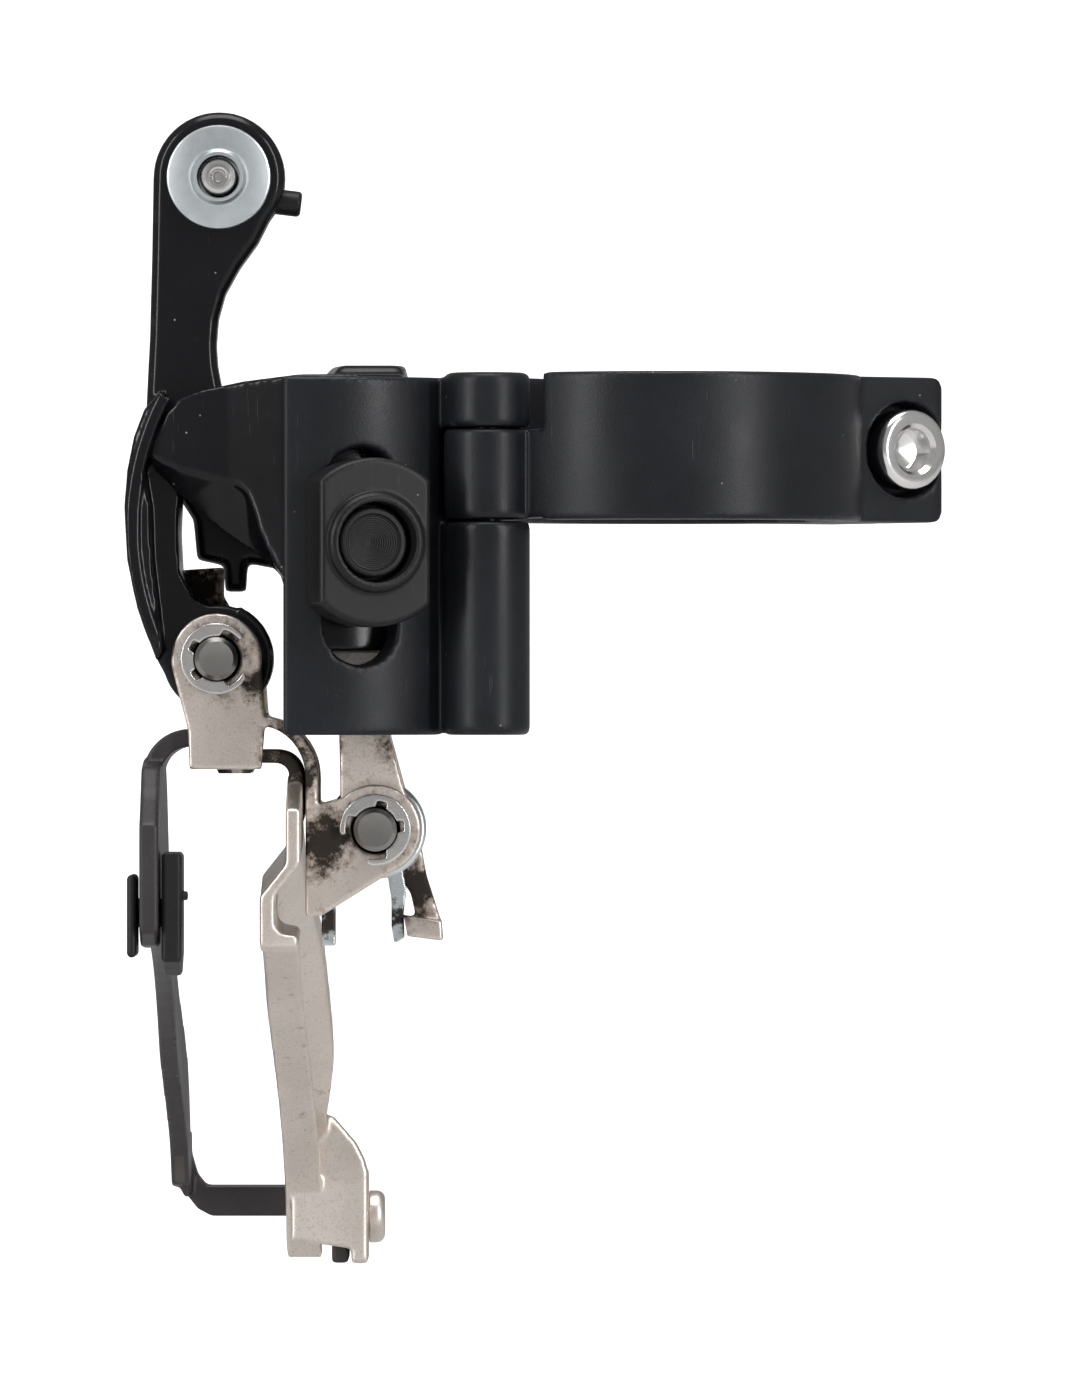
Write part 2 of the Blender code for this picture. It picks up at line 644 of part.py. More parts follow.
def make_outer_link():
    upper, lower = OUTER_UPPER, OUTER_LOWER
    head, blade = arm_shape()
    upper_eye = lengthwise(circle(upper, 4.6, 32), LINK_FRONT, BASE_REAR - FIT)
    lower_eye = lengthwise(circle(lower, EYE_RADIUS, 36), LINK_FRONT, LINK_REAR, 0.4)
    web_outline = [(-53.4, 3.0), (-55.6, -6.0), (-55.2, -12.0), (-53.4, -19.0), (-50.5, -26.2), (-46.4, -17.4)]
    web_outline += [(-49.4, -15.9), (-50.9, -13.0), (-51.1, -9.0), (-50.9, -4.0), (-48.9, 2.0)]
    web = lengthwise(web_outline, LINK_FRONT, LINK_REAR)
    rim = [(-52.6, 6.0), (-54.5, 3.9), (-55.6, 1.0), (-56.3, -2.5), (-56.6, -6.3), (-56.3, -11.8)]
    rim += [(-55.2, -17.0), (-53.2, -22.4)]
    rim += [(-52.6, -21.2), (-53.1, -17.0), (-53.7, -11.8), (-53.9, -6.3), (-54.7, -1.6)]
    rim += arc(upper, 5.75, 186, 136, 6)
    panel = lengthwise(rim, BASE_FRONT, LINK_REAR)
    tail = lengthwise(
        [(-53.2, -22.4), (-52.6, -21.2), (-50.0, -22.0), (-49.4, -27.1), (-51.4, -25.6)], LINK_FRONT, LINK_REAR
    )
    cuts = [
        rod(at(upper), REARWARD, -20, 20, UPPER_PIN_RADIUS + TURN_FIT, 24),
        rod(at(lower), REARWARD, -20, 20, PIN_RADIUS + TURN_FIT, 24),
        rod(at(CLAMP_POINT), REARWARD, -10, 10, CABLE_BOLT_RADIUS + FIT, 24),
        rod(NUB_FOOT, NUB_WAY, 0, 8, NUB_RADIUS + FIT, 24),
    ]
    solid("outer_link", PAINTED, at(upper), [web, panel, tail, upper_eye, lower_eye, blade, head], cuts)


def make_cable_clamp():
    face = ARM_FRONT - FIT
    radius = CABLE_WASHER_RADIUS
    washer = turned(
        [(radius, face), (radius, face - 1.3), (radius - 0.3, face - 1.6), (3.0, face - 1.6), (2.7, face - 2.2),
         (2.4, face - 2.3)],
        at(CLAMP_POINT),
        REARWARD,
        40,
    )
    hole = rod(at(CLAMP_POINT), REARWARD, -12, 0, CABLE_BOLT_RADIUS + FIT, 24)
    solid("cable_washer", ZINC, at(CLAMP_POINT, face), [washer], [hole])
    rear = ARM_FRONT + ARM_THICKNESS + FIT
    bolt = turned(
        [(CABLE_BOLT_RADIUS - 0.3, face - 2.2), (CABLE_BOLT_RADIUS, face - 1.9), (CABLE_BOLT_RADIUS, rear),
         (4.0, rear), (4.0, rear + 2.9), (3.5, rear + 3.3)],
        at(CLAMP_POINT),
        REARWARD,
        32,
    )
    socket = hexagon_bar(at(CLAMP_POINT), REARWARD, rear + 1.6, rear + 5, 4.0)
    dimple = rod(at(CLAMP_POINT), REARWARD, face - 4, face - 1.4, 1.0, 20)
    solid("cable_bolt", CHROME, at(CLAMP_POINT, rear), [bolt], [socket, dimple])
    solid("cable_guide_pin", OXIDE, NUB_FOOT, [rod(NUB_FOOT, NUB_WAY, 0.3, NUB_LENGTH, NUB_RADIUS, 24, 0.25)])


def make_pin(name, pivot, front, rear, radius, head):
    profile = [(radius - 0.45, front), (radius, front + 0.45), (radius, rear)]
    if head:
        profile += [(head, rear), (head, rear + 1.2), (head - 0.3, rear + 1.5)]
    solid(name, DARK_STEEL, at(pivot), [turned(profile, at(pivot), REARWARD, 28)])


def make_clip(name, pivot, turn):
    """A snap ring: three-quarters of a flat ring with three inner lugs against the pin."""
    inner = PIN_RADIUS + FIT
    middle = inner + 0.45 * CLIP_WIDTH
    half_open = 44
    outline = arc((0, 0), PIN_RADIUS + CLIP_WIDTH, half_open - 16, 376 - half_open, 40)
    outline += arc((0, 0), inner, 360 - half_open, 330 - half_open, 5)
    outline += arc((0, 0), middle, 326 - half_open, 198, 8)
    outline += arc((0, 0), inner, 195, 165, 5)
    outline += arc((0, 0), middle, 162, half_open + 34, 8)
    outline += arc((0, 0), inner, half_open + 30, half_open, 5)
    c, s = math.cos(math.radians(turn)), math.sin(math.radians(turn))
    outline = [(pivot[0] + p * c - q * s, pivot[1] + p * s + q * c) for p, q in outline]
    solid(name, DARK_STEEL, at(pivot), [lengthwise(outline, EAR_FRONT - FIT - 0.7, EAR_FRONT - FIT)])


def make_inner_link():
    upper, lower = INNER_UPPER, INNER_LOWER
    top = arc(upper, INNER_EYE_RADIUS, 0, 180, 14) + [(-34.3, -27.0), (-34.1, -35.0)]
    outline = top + arc(lower, INNER_EYE_RADIUS, 150, 385, 18) + [(-27.5, -35.6), (-29.0, -30.0)]
    front_wall = lengthwise(outline, LINK_FRONT, LINK_FRONT + SHEET)
    hook = top + arc(lower, INNER_EYE_RADIUS, 150, 290, 12)
    hook += [(-26.9, -46.9), (-26.3, -49.6), (-23.6, -50.0), (-25.2, -45.0), (-26.1, -40.0), (-27.5, -35.6)]
    hook += [(-29.0, -30.0)]
    rear_wall = lengthwise(hook, LINK_REAR - SHEET, LINK_REAR)
    toe = [(-27.6, -49.2), (-23.6, -49.8), (-23.4, -51.9), (-27.2, -51.4)]
    foot = lengthwise(toe, LINK_REAR - 5.2, LINK_REAR)
    web = lengthwise(
        [(-30.4, -30.6), (-29.0, -30.6), (-28.9, -22.5), (-30.3, -22.5)], LINK_FRONT + FIT, LINK_REAR - FIT
    )
    cuts = [
        rod(at(upper), REARWARD, -20, 20, UPPER_PIN_RADIUS + TURN_FIT, 24),
        rod(at(lower), REARWARD, -20, 20, PIN_RADIUS + TURN_FIT, 24),
    ]
    solid("inner_link", NICKEL, at(upper), [front_wall, web, rear_wall, foot], cuts)


def make_cage_bracket():
    ear_rear = EAR_FRONT + SHEET
    rear_front, rear_rear = LINK_REAR + FIT, LINK_REAR + FIT + SHEET
    ear = 4.75
    skirt = [(-50.0, -29.5), (-49.8, -33.7), (-42.3, -33.7), (-41.9, -28.6)]
    front_ear = lengthwise(arc(OUTER_LOWER, ear, -10, 190, 20) + skirt, EAR_FRONT, ear_rear)
    strut_outline = arc(OUTER_LOWER, ear, -10, 70, 6) + [(-46.7, -15.5), (-46.6, -12.4), (-51.2, -12.7)]
    strut_outline += [(-51.4, -18.0)] + arc(OUTER_LOWER, ear, 160, 190, 4)
    strut_outline += [(-50.0, -29.0), (-49.8, -29.1), (-42.3, -29.1), (-41.9, -28.6)]
    strut = lengthwise(strut_outline, rear_front, rear_rear)
    left, low = -42.6, -34.6
    right = BRACKET_X
    wide, tall = right - left, FLOOR_TOP - FLOOR_WALL - low
    thick = 1.3
    under = [(left + wide * p, low + tall * q) for p, q in arc((0, 0), 1, 90, 0, 10)]
    over = [(left + (wide + thick) * p, low + (tall + FLOOR_WALL) * q) for p, q in arc((0, 0), 1, 0, 90, 10)]
    floor = [(-50.0, FLOOR_TOP), (-50.0, FLOOR_TOP - FLOOR_WALL)] + under
    floor += [(right, -49.0), (right + thick, -49.0)] + over
    spine = lengthwise(floor, EAR_FRONT, rear_rear)
    inner_ear = [(right + 0.6, -37.6)] + arc(INNER_LOWER, ear, 135, -70, 20)
    inner_ear += [(-36.0, -49.0), (right + 0.6, -49.0)]
    front_inner = lengthwise(inner_ear, EAR_FRONT, ear_rear)
    rear_inner = lengthwise(inner_ear, rear_front, rear_rear)
    cuts = [
        rod(at(OUTER_LOWER), REARWARD, -20, 20, PIN_RADIUS + FIT, 24),
        rod(at(INNER_LOWER), REARWARD, -20, 20, PIN_RADIUS + FIT, 24),
    ]
    for y in RIVET_ROW:
        cuts.append(rod((RIVET_X, y, 0), UP, -40, -20, RIVET_RADIUS + FIT, 20))
    solid("cage_bracket", NICKEL, at(INNER_LOWER), [spine, front_ear, strut, front_inner, rear_inner], cuts)


def edge_height(y, radius):
    return RING_CENTRE + math.sqrt(radius * radius - y * y)


def smooth(value, low, high):
    t = min(1.0, max(0.0, (value - low) / (high - low)))
    return t * t * (3 - 2 * t)


def stations(count):
    return [NOSE_Y + (TAIL_Y - NOSE_Y) * step / count for step in range(count + 1)]


def arch_outline(side, foot, crown, radius, wall, end):
    """A sheet that rises from a plate at x = side and bends over to x = end, its top at z = crown."""
    way = 1 if end > side else -1
    centre = (side + way * radius, crown - radius)
    outer = [(centre[0] - way * radius * math.cos(t), centre[1] + radius * math.sin(t)) for t in QUARTER]
    small = radius - wall
    inner = [(centre[0] - way * small * math.cos(t), centre[1] + small * math.sin(t)) for t in QUARTER[::-1]]
    return [(side, foot)] + outer + [(end, crown), (end, crown - wall)] + inner + [(side + way * wall, foot)]


def make_outer_plate():
    half = OUTER_PLATE_WALL / 2
    left, right = CAGE_OUTER_X - half, CAGE_OUTER_X + half
    sections = []
    for y in stations(26):
        low = max(edge_height(y, RING_RADIUS), TAIL_BAR_TOP) + 3.0 * smooth(y, -14.0, NOSE_Y)
        top = edge_height(y, RING_RADIUS + 8.0)
        top += 11.0 * smooth(y, 24.0, 8.0) - 5.0 * smooth(y, -11.5, NOSE_Y)
        drift = TAIL_DRIFT * smooth(y, 48.0, 66.0)
        sections.append([(left + drift, y, low), (right + drift, y, low), (right + drift, y, top),
                         (left + drift, y, top)])
    skin = lofted(sections)
    bridge = arch_outline(left, -42.0, OUTER_BRIDGE_TOP, BRIDGE_BEND, BRIDGE_WALL, OUTER_BRIDGE_END)
    arch = lengthwise(bridge, EAR_FRONT + SHEET + FIT, LINK_REAR)
    low, top = TAIL_BAR_TOP - TAIL_BAR_WALL, TAIL_BAR_TOP
    left, right = left + TAIL_DRIFT, right + TAIL_DRIFT
    fold = [(left, top + 6.0), (left, top + 2.4), (left + 0.4, top + 1.0), (left + 1.4, top - 1.0)]
    fold += [(left + 2.7, low + 0.8), (left + 4.2, low), (TAIL_TAB_RIGHT, low), (TAIL_TAB_RIGHT, top)]
    fold += [(left + 3.7, top), (left + 2.7, top + 1.2), (right, top + 3.6), (right, top + 6.0)]
    bar = lengthwise(fold, TAIL_BAR_FRONT, TAIL_BAR_REAR)
    knuckle = lengthwise(fold[:4] + [(right, top - 1.0)] + fold[-2:], TAIL_Y - 6.0, TAIL_BAR_FRONT + 0.5)
    tab = sideways(
        rectangle(TAIL_SCREW_Y - 2.3, TAIL_BAR_REAR, TAIL_TAB_BOTTOM, top), TAIL_TAB_LEFT, TAIL_TAB_RIGHT
    )
    cuts = [rod((RIVET_X, y, 0), UP, -40, -20, RIVET_RADIUS + FIT, 20) for y in RIVET_ROW]
    cuts.append(rod((-60, PAD_PEG[0], PAD_PEG[1]), RIGHT, 0, 20, PEG_RADIUS + FIT, 20))
    cuts.append(rod((-40, TAIL_SCREW_Y, TAIL_SCREW_Z), RIGHT, 0, 8, TAIL_SCREW_RADIUS + FIT, 20))
    solid("outer_plate", DARK_PLATE, at(INNER_LOWER), [skin, arch, bar, knuckle, tab], cuts)


def make_inner_plate():
    wall = INNER_PLATE_WALL
    sections = []
    for y in stations(26):
        left = INNER_PLATE_X - 0.6 * smooth(y, -10.0, 20.0) + 1.5 * smooth(y, 35.0, 72.0)
        lean = INNER_PLATE_LEAN + 1.7 * (smooth(y, 10.0, 45.0) - smooth(y, 58.0, 70.0))
        low = edge_height(y, RING_RADIUS) + 1.5 * smooth(y, -15.0, NOSE_Y)
        top = edge_height(y, RING_RADIUS + 9.5) - 4.0 * smooth(y, 40.0, TAIL_Y)
        top += 7.6 * smooth(y, 28.0, 8.0) - 1.5 * smooth(y, -12.0, NOSE_Y)
        step = low + 0.45 * (top - low)
        sections.append([
            (left, y, low),
            (left + FLANGE, y, low),
            (left + FLANGE, y, low + 1.2),
            (left + wall + 0.6, y, low + 1.5),
            (left + wall, y, low + 2.3),
            (left + wall, y, step - 1.2),
            (left + wall + lean, y, step + 2.2),
            (left + wall + lean, y, top),
            (left + lean, y, top),
            (left + lean, y, step + 2.2),
            (left, y, step - 1.2),
        ])
    skin = lofted(sections)
    right = INNER_PLATE_X + INNER_PLATE_LEAN + wall
    bridge = arch_outline(right, -39.0, INNER_BRIDGE_TOP, 2.8, INNER_BRIDGE_WALL, INNER_BRIDGE_END)
    arch = lengthwise(bridge, EAR_FRONT + SHEET + FIT, LINK_REAR)
    edge = TAIL_BLOCK_RIGHT
    face = [(edge - 8.6, -72.0), (edge - 3.9, -72.6), (edge - 1.3, -75.6), (edge - 0.3, -77.6), (edge, -79.6)]
    face += [(edge, -87.6), (edge - 8.6, -86.4)]
    front_wall = lengthwise(face, TAIL_WALL_FRONT, TAIL_WALL_FRONT + 1.4)
    side_wall = sideways(
        rectangle(TAIL_WALL_FRONT, TAIL_Y + 0.3, TAIL_TAB_BOTTOM, -78.5), TAIL_TAB_RIGHT + FIT, edge
    )
    cuts = [rod((RIVET_X, y, 0), UP, -40, -20, RIVET_RADIUS + FIT, 20) for y in RIVET_ROW]
    cuts.append(rod((-35, TAIL_SCREW_Y, TAIL_SCREW_Z), RIGHT, 0, 8, TAIL_SCREW_RADIUS + FIT, 20))
    solid("inner_plate", NICKEL, at(INNER_LOWER), [skin, arch, front_wall, side_wall], cuts)


def make_cage_trim():
    for name, y in zip(("front_rivet", "rear_rivet"), RIVET_ROW):
        under = INNER_BRIDGE_TOP - INNER_BRIDGE_WALL - FIT
        rivet = turned(
            [(RIVET_RADIUS, FLOOR_TOP - 0.1), (RIVET_RADIUS, under), (RIVET_RADIUS + 0.7, under),
             (RIVET_RADIUS + 0.3, under - 0.8)],
            (RIVET_X, y, 0), UP, 20,
        )
        solid(name, DARK_STEEL, (RIVET_X, y, FLOOR_TOP), [rivet])
    left = CAGE_OUTER_X - OUTER_PLATE_WALL / 2 - FIT
    right = CAGE_OUTER_X + OUTER_PLATE_WALL / 2 + FIT
    outside = sideways(rectangle(-18.6, -10.0, -53.2, -44.6), left - 1.0, left, 0.3)
    inside = sideways([(-18.6, -53.6), (-14.0, -55.2), (-9.0, -53.2), (-9.0, -42.3), (-18.6, -42.3)],
                      right, right + 2.1, 0.3)
    peg = rod((left - 0.5, PAD_PEG[0], PAD_PEG[1]), RIGHT, 0, right - left + 1.0, PEG_RADIUS, 20)
    nib = rod((right + 1.8, PAD_PEG[0] - 1.5, -46.8), RIGHT, 0, 0.9, 0.5, 12)
    solid("skid_pad", PLASTIC, (left, PAD_PEG[0], PAD_PEG[1]), [outside, inside, peg, nib])
    head = (TAIL_BLOCK_RIGHT + FIT, TAIL_SCREW_Y, TAIL_SCREW_Z)
    radius = TAIL_SCREW_RADIUS
    screw = turned(
        [(radius - 0.5, -4.8), (radius, -4.3), (radius, 0), (radius + 1.3, 0), (radius + 1.3, 1.1),
         (radius + 0.9, 1.5)],
        head, RIGHT, 28,
    )
    solid("tail_screw", DARK_STEEL, head, [screw], [hexagon_bar(head, RIGHT, 0.7, 3, 2.5)])


def make_return_spring():
    points = []
    start = math.radians(SPRING_START)
    total = 2 * math.pi * SPRING_TURNS + math.radians(180 + SPRING_START)
    steps = 84
    for step in range(steps + 1):
        angle = start - total * step / steps
        y = SPRING_REAR - (SPRING_REAR - SPRING_FRONT) * step / steps
        points.append(Vector((INNER_LOWER[0] + SPRING_RADIUS * math.cos(angle), y,
                              INNER_LOWER[1] + SPRING_RADIUS * math.sin(angle))))
    first, last = points[0], points[-1]
    points.insert(0, first + Vector((-0.2, 0, -3.0)))
    points.insert(0, first + Vector((0.4, 0, -7.4)))
    points.append(last + Vector((0.1, 0, -4.0)))
    points.append(last + Vector((0.1, 0, -7.8)))
    solid("return_spring", ZINC, at(INNER_LOWER), [tube_along(points, SPRING_WIRE / 2, 8)])
    profile = [(3.6, LINK_FRONT + SHEET + FIT), (3.6, LINK_REAR - SHEET - FIT)]
    bush = turned(profile, at(INNER_LOWER), REARWARD, 32)
    hole = rod(at(INNER_LOWER), REARWARD, -20, 20, PIN_RADIUS + FIT, 24)
    solid("spring_bush", PLASTIC, at(INNER_LOWER), [bush], [hole])


clear_scene()
make_clamp_body()
make_clamp_band()
make_clamp_fasteners()
make_fixing()
make_base_bracket()
make_limit_screws()
make_outer_link()
make_cable_clamp()
make_inner_link()
make_cage_bracket()
make_outer_plate()
make_inner_plate()
make_cage_trim()
make_return_spring()
make_pin("upper_outer_pin", OUTER_UPPER, -10.3, BASE_BACK, UPPER_PIN_RADIUS, 0)
make_pin("upper_inner_pin", INNER_UPPER, -10.3, BASE_BACK, UPPER_PIN_RADIUS, 0)
make_pin("lower_outer_pin", OUTER_LOWER, -12.2, LINK_REAR + 2 * FIT + SHEET, PIN_RADIUS, 3.3)
make_pin("lower_inner_pin", INNER_LOWER, -12.2, LINK_REAR + 2 * FIT + SHEET, PIN_RADIUS, 3.3)
make_clip("outer_snap_ring", OUTER_LOWER, 5)
make_clip("inner_snap_ring", INNER_LOWER, 222)
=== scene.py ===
import json
import math

import bmesh
import bpy
from mathutils import Matrix, Vector


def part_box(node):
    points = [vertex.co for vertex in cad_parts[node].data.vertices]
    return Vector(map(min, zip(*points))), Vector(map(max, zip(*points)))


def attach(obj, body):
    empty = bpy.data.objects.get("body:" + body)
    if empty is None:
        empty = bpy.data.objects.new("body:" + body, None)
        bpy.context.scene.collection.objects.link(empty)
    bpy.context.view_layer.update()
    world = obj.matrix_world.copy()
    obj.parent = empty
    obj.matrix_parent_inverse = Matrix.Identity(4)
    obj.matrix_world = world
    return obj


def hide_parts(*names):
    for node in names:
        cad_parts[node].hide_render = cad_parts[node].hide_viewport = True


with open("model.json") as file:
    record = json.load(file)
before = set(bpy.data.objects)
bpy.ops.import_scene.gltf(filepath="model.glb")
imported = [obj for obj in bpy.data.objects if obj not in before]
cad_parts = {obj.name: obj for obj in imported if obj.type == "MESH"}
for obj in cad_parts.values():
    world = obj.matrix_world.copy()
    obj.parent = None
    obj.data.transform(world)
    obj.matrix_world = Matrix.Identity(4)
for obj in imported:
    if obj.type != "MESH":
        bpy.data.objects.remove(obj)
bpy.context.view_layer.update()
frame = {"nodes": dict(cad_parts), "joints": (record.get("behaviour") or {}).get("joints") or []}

MM = 0.001
joints = {joint["name"]: joint for joint in frame["joints"]}


# ---------------------------------------------------------------------------------------------
# Camera, floor and light.
# The camera stands 1.3 m in front of the seat tube and looks straight to the rear. The floor is
# a pale sweep below and behind the part. Two tall soft lights stand left and right of the camera.

bpy.context.scene.view_settings.view_transform = "Standard"
bpy.context.scene.view_settings.look = "None"


def add_object(name, data):
    thing = bpy.data.objects.new(name, data)
    bpy.context.scene.collection.objects.link(thing)
    return thing


def area_light(name, place, target, width, height, power):
    lamp = bpy.data.lights.new(name, "AREA")
    lamp.shape = "RECTANGLE"
    lamp.size = width
    lamp.size_y = height
    lamp.energy = power
    thing = add_object(name, lamp)
    thing.location = place
    thing.rotation_euler = (Vector(target) - Vector(place)).to_track_quat("-Z", "Y").to_euler()


camera_data = bpy.data.cameras.new("camera")
camera_data.sensor_width = 36.0
camera_data.lens = 323.0
camera_data.clip_start = 0.05
camera_data.clip_end = 50.0
camera = add_object("camera", camera_data)
camera.location = (-0.0132, -1.3, -0.0252)
camera.rotation_euler = (math.radians(90), 0, 0)
bpy.context.scene.camera = camera

FLOOR_WIDTH = 8.0
FLOOR_FRONT = -3.0
FLOOR_HEIGHT = -0.135
FLOOR_BACK = 2.0
BACKDROP_TOP = 4.0
CURVE_RADIUS = 0.9


def new_verts(geom):
    return [item for item in geom if isinstance(item, bmesh.types.BMVert)]


sweep = bmesh.new()
left = -FLOOR_WIDTH / 2
chain = [sweep.verts.new((left, FLOOR_FRONT, FLOOR_HEIGHT))]
for turn in range(0, 91, 6):
    rearward = FLOOR_BACK - CURVE_RADIUS * (1 - math.sin(math.radians(turn)))
    height = FLOOR_HEIGHT + CURVE_RADIUS * (1 - math.cos(math.radians(turn)))
    chain.append(sweep.verts.new((left, rearward, height)))
chain.append(sweep.verts.new((left, FLOOR_BACK, BACKDROP_TOP)))
edges = [sweep.edges.new(pair) for pair in zip(chain, chain[1:])]
side = bmesh.ops.extrude_edge_only(sweep, edges=edges)["geom"]
bmesh.ops.translate(sweep, verts=new_verts(side), vec=(FLOOR_WIDTH, 0, 0))
bmesh.ops.recalc_face_normals(sweep, faces=sweep.faces)
floor_mesh = bpy.data.meshes.new("floor")
sweep.to_mesh(floor_mesh)
sweep.free()
floor_mesh.shade_smooth()
floor = add_object("floor", floor_mesh)

floor_look = bpy.data.materials.new("pale floor")
floor_look.use_nodes = True
floor_shader = floor_look.node_tree.nodes["Principled BSDF"]
floor_shader.inputs["Base Color"].default_value = (0.62, 0.62, 0.62, 1)
floor_shader.inputs["Roughness"].default_value = 0.9
floor_shader.inputs["Specular IOR Level"].default_value = 0.1
floor_shader.inputs["Emission Color"].default_value = (1, 1, 1, 1)
seen_floor = floor_look.node_tree.nodes.new("ShaderNodeLightPath")
floor_look.node_tree.links.new(seen_floor.outputs["Is Camera Ray"],
                               floor_shader.inputs["Emission Strength"])
floor_mesh.materials.append(floor_look)

world = bpy.data.worlds.new("studio")
bpy.context.scene.world = world
world.use_nodes = True
world.node_tree.nodes["Background"].inputs["Color"].default_value = (1, 1, 1, 1)
world.node_tree.nodes["Background"].inputs["Strength"].default_value = 0.34

middle = (-0.02, 0.0, -0.02)
area_light("left soft light", (-1.02, -0.84, 0.25), middle, 0.16, 1.3, 9)
area_light("right soft light", (0.95, -0.95, 0.25), middle, 0.18, 1.3, 10)
area_light("top soft light", (0.0, -0.25, 1.3), middle, 1.0, 0.8, 12)


# ---------------------------------------------------------------------------------------------
# Hinged band: the far half with its knuckles, column and slotted tab, and the near half.
# The real ones are forged and turned aluminium, bead blasted and anodised satin black.
# Each is a union of bars less the bore and the holes, remeshed so that its edges turn soft.

BORE = 17.45
BAND_WALL = 3.2
HALF_BAND = 7.7
KNUCKLE_RADIUS = 4.5
KNUCKLE_TOP = 1.8
LUG_DEPTH = 9.5
LUG_REACH = BORE + 12.1
LUG_CORNER = 1.5
SPLIT_GAP = 0.4
TAB_AXIS = Vector((-37.4, 0.4, 0))
TAB_FRONT = 18.5
TAB_BACK = 14.9
TAB_TOP = 7.2
TAB_BOTTOM = -30.1
SLOT_HALF = 3.95
SLOT_TOP = -0.25
SLOT_BOTTOM = -22.8

UP = Vector((0, 0, 1))
REARWARD = Vector((0, 1, 0))
RIGHT = Vector((1, 0, 0))
across_split = Vector(joints["clamp_bolt_turn"]["axis"])
along_split = Vector((-across_split.y, across_split.x, 0))
hinge = Vector(joints["clamp_hinge"]["pos_m"]) / MM
bolt_foot = Vector(joints["clamp_bolt_turn"]["pos_m"]) / MM
slot_way = Vector(joints["mounting_bolt_turn"]["axis"])
slot_side = Vector((-slot_way.y, slot_way.x, 0))


def arc(centre, radius, start, end, steps):
    """Points on a circle between two angles in degrees."""
    points = []
    for step in range(steps + 1):
        angle = math.radians(start + (end - start) * step / steps)
        points.append((centre[0] + radius * math.cos(angle), centre[1] + radius * math.sin(angle)))
    return points


def circle(centre, radius, steps=96):
    return arc(centre, radius, 0, 360, steps)[:-1]


def to_mesh(work):
    bmesh.ops.recalc_face_normals(work, faces=work.faces)
    mesh = bpy.data.meshes.new("shape")
    work.to_mesh(mesh)
    work.free()
    return mesh


def bar(outline, low, high, place, soft=0.0, segments=3):
    """A face with this outline, extruded in millimetres. soft rounds the rims at both ends."""
    work = bmesh.new()
    foot = work.faces.new([work.verts.new(Vector(place(p, q, low)) * MM) for p, q in outline])
    grown = bmesh.ops.extrude_face_region(work, geom=[foot])["geom"]
    push = (Vector(place(0, 0, high)) - Vector(place(0, 0, low))) * MM
    bmesh.ops.translate(work, verts=new_verts(grown), vec=push)
    bmesh.ops.recalc_face_normals(work, faces=work.faces)
    if soft:
        caps = [face for face in work.faces if len(face.verts) == len(outline)]
        rims = {edge for cap in caps for edge in cap.edges}
        bmesh.ops.bevel(work, geom=list(rims), offset=soft * MM, segments=segments, profile=0.5,
                        affect="EDGES", material=-1)
    return to_mesh(work)


def upright(outline, low, high, soft=0.0):
    return bar(outline, low, high, lambda p, q, r: (p, q, r), soft)


def lengthwise(outline, front, rear, soft=0.0):
    return bar(outline, front, rear, lambda p, q, r: (p, r, q), soft)


def split_bar(outline, low, high, soft=0.0):
    """A bar along Z, its outline measured along and across the split of the band."""
    return bar(outline, low, high,
               lambda p, q, r: along_split * p + across_split * q + UP * r, soft)


def turned(profile, start, way, sides=96):
    """A profile of (radius, distance) in millimetres, spun about the axis through start."""
    way = Vector(way).normalized()
    side = way.orthogonal().normalized()
    work = bmesh.new()
    points = [(0.0, profile[0][1])] + list(profile) + [(0.0, profile[-1][1])]
    line = [work.verts.new((Vector(start) + way * far + side * out) * MM) for out, far in points]
    edges = [work.edges.new(pair) for pair in zip(line, line[1:])]
    bmesh.ops.spin(work, geom=line + edges, cent=Vector(start) * MM, axis=way, dvec=(0, 0, 0),
                   angle=2 * math.pi, steps=sides, use_merge=True, use_duplicate=False)
    bmesh.ops.remove_doubles(work, verts=work.verts, dist=0.0000002)
    return to_mesh(work)


def rod(start, way, low, high, radius, sides=64):
    return turned([(radius, low), (radius, high)], start, way, sides)


def rounded(radius, along, soft, way=1):
    """Profile points round the outer corner of a turned piece. way is +1 at its far end."""
    points = []
    for step in range(5):
        angle = math.radians(22.5 * step)
        inward = soft * (1 - math.cos(angle))
        back = soft * (1 - math.sin(angle))
        points.append((radius - inward, along - way * back))
    return points if way > 0 else points[::-1]


def hexagon_bar(start, way, low, high, flats, turn=0.0):
    way = Vector(way).normalized()
    side = Matrix.Rotation(math.radians(turn), 3, way) @ way.orthogonal().normalized()
    other = way.cross(side)
    return bar(circle((0, 0), flats / math.sqrt(3), 6), low, high,
               lambda p, q, r: Vector(start) + side * p + other * q + way * r)


def evaluated_mesh(base):
    graph = bpy.context.evaluated_depsgraph_get()
    return bpy.data.meshes.new_from_object(base.evaluated_get(graph))


def joined(add, cut=()):
    """One mesh: the shapes in add united, less the shapes in cut."""
    base = add_object("work", add[0])
    helpers = []
    for mesh, operation in [(m, "UNION") for m in add[1:]] + [(m, "DIFFERENCE") for m in cut]:
        helper = add_object("helper", mesh)
        helpers.append(helper)
        step = base.modifiers.new(operation, "BOOLEAN")
        step.operation = operation
        step.solver = "EXACT"
        step.object = helper
    made = evaluated_mesh(base)
    for thing in helpers + [base]:
        bpy.data.objects.remove(thing, do_unlink=True)
    return made


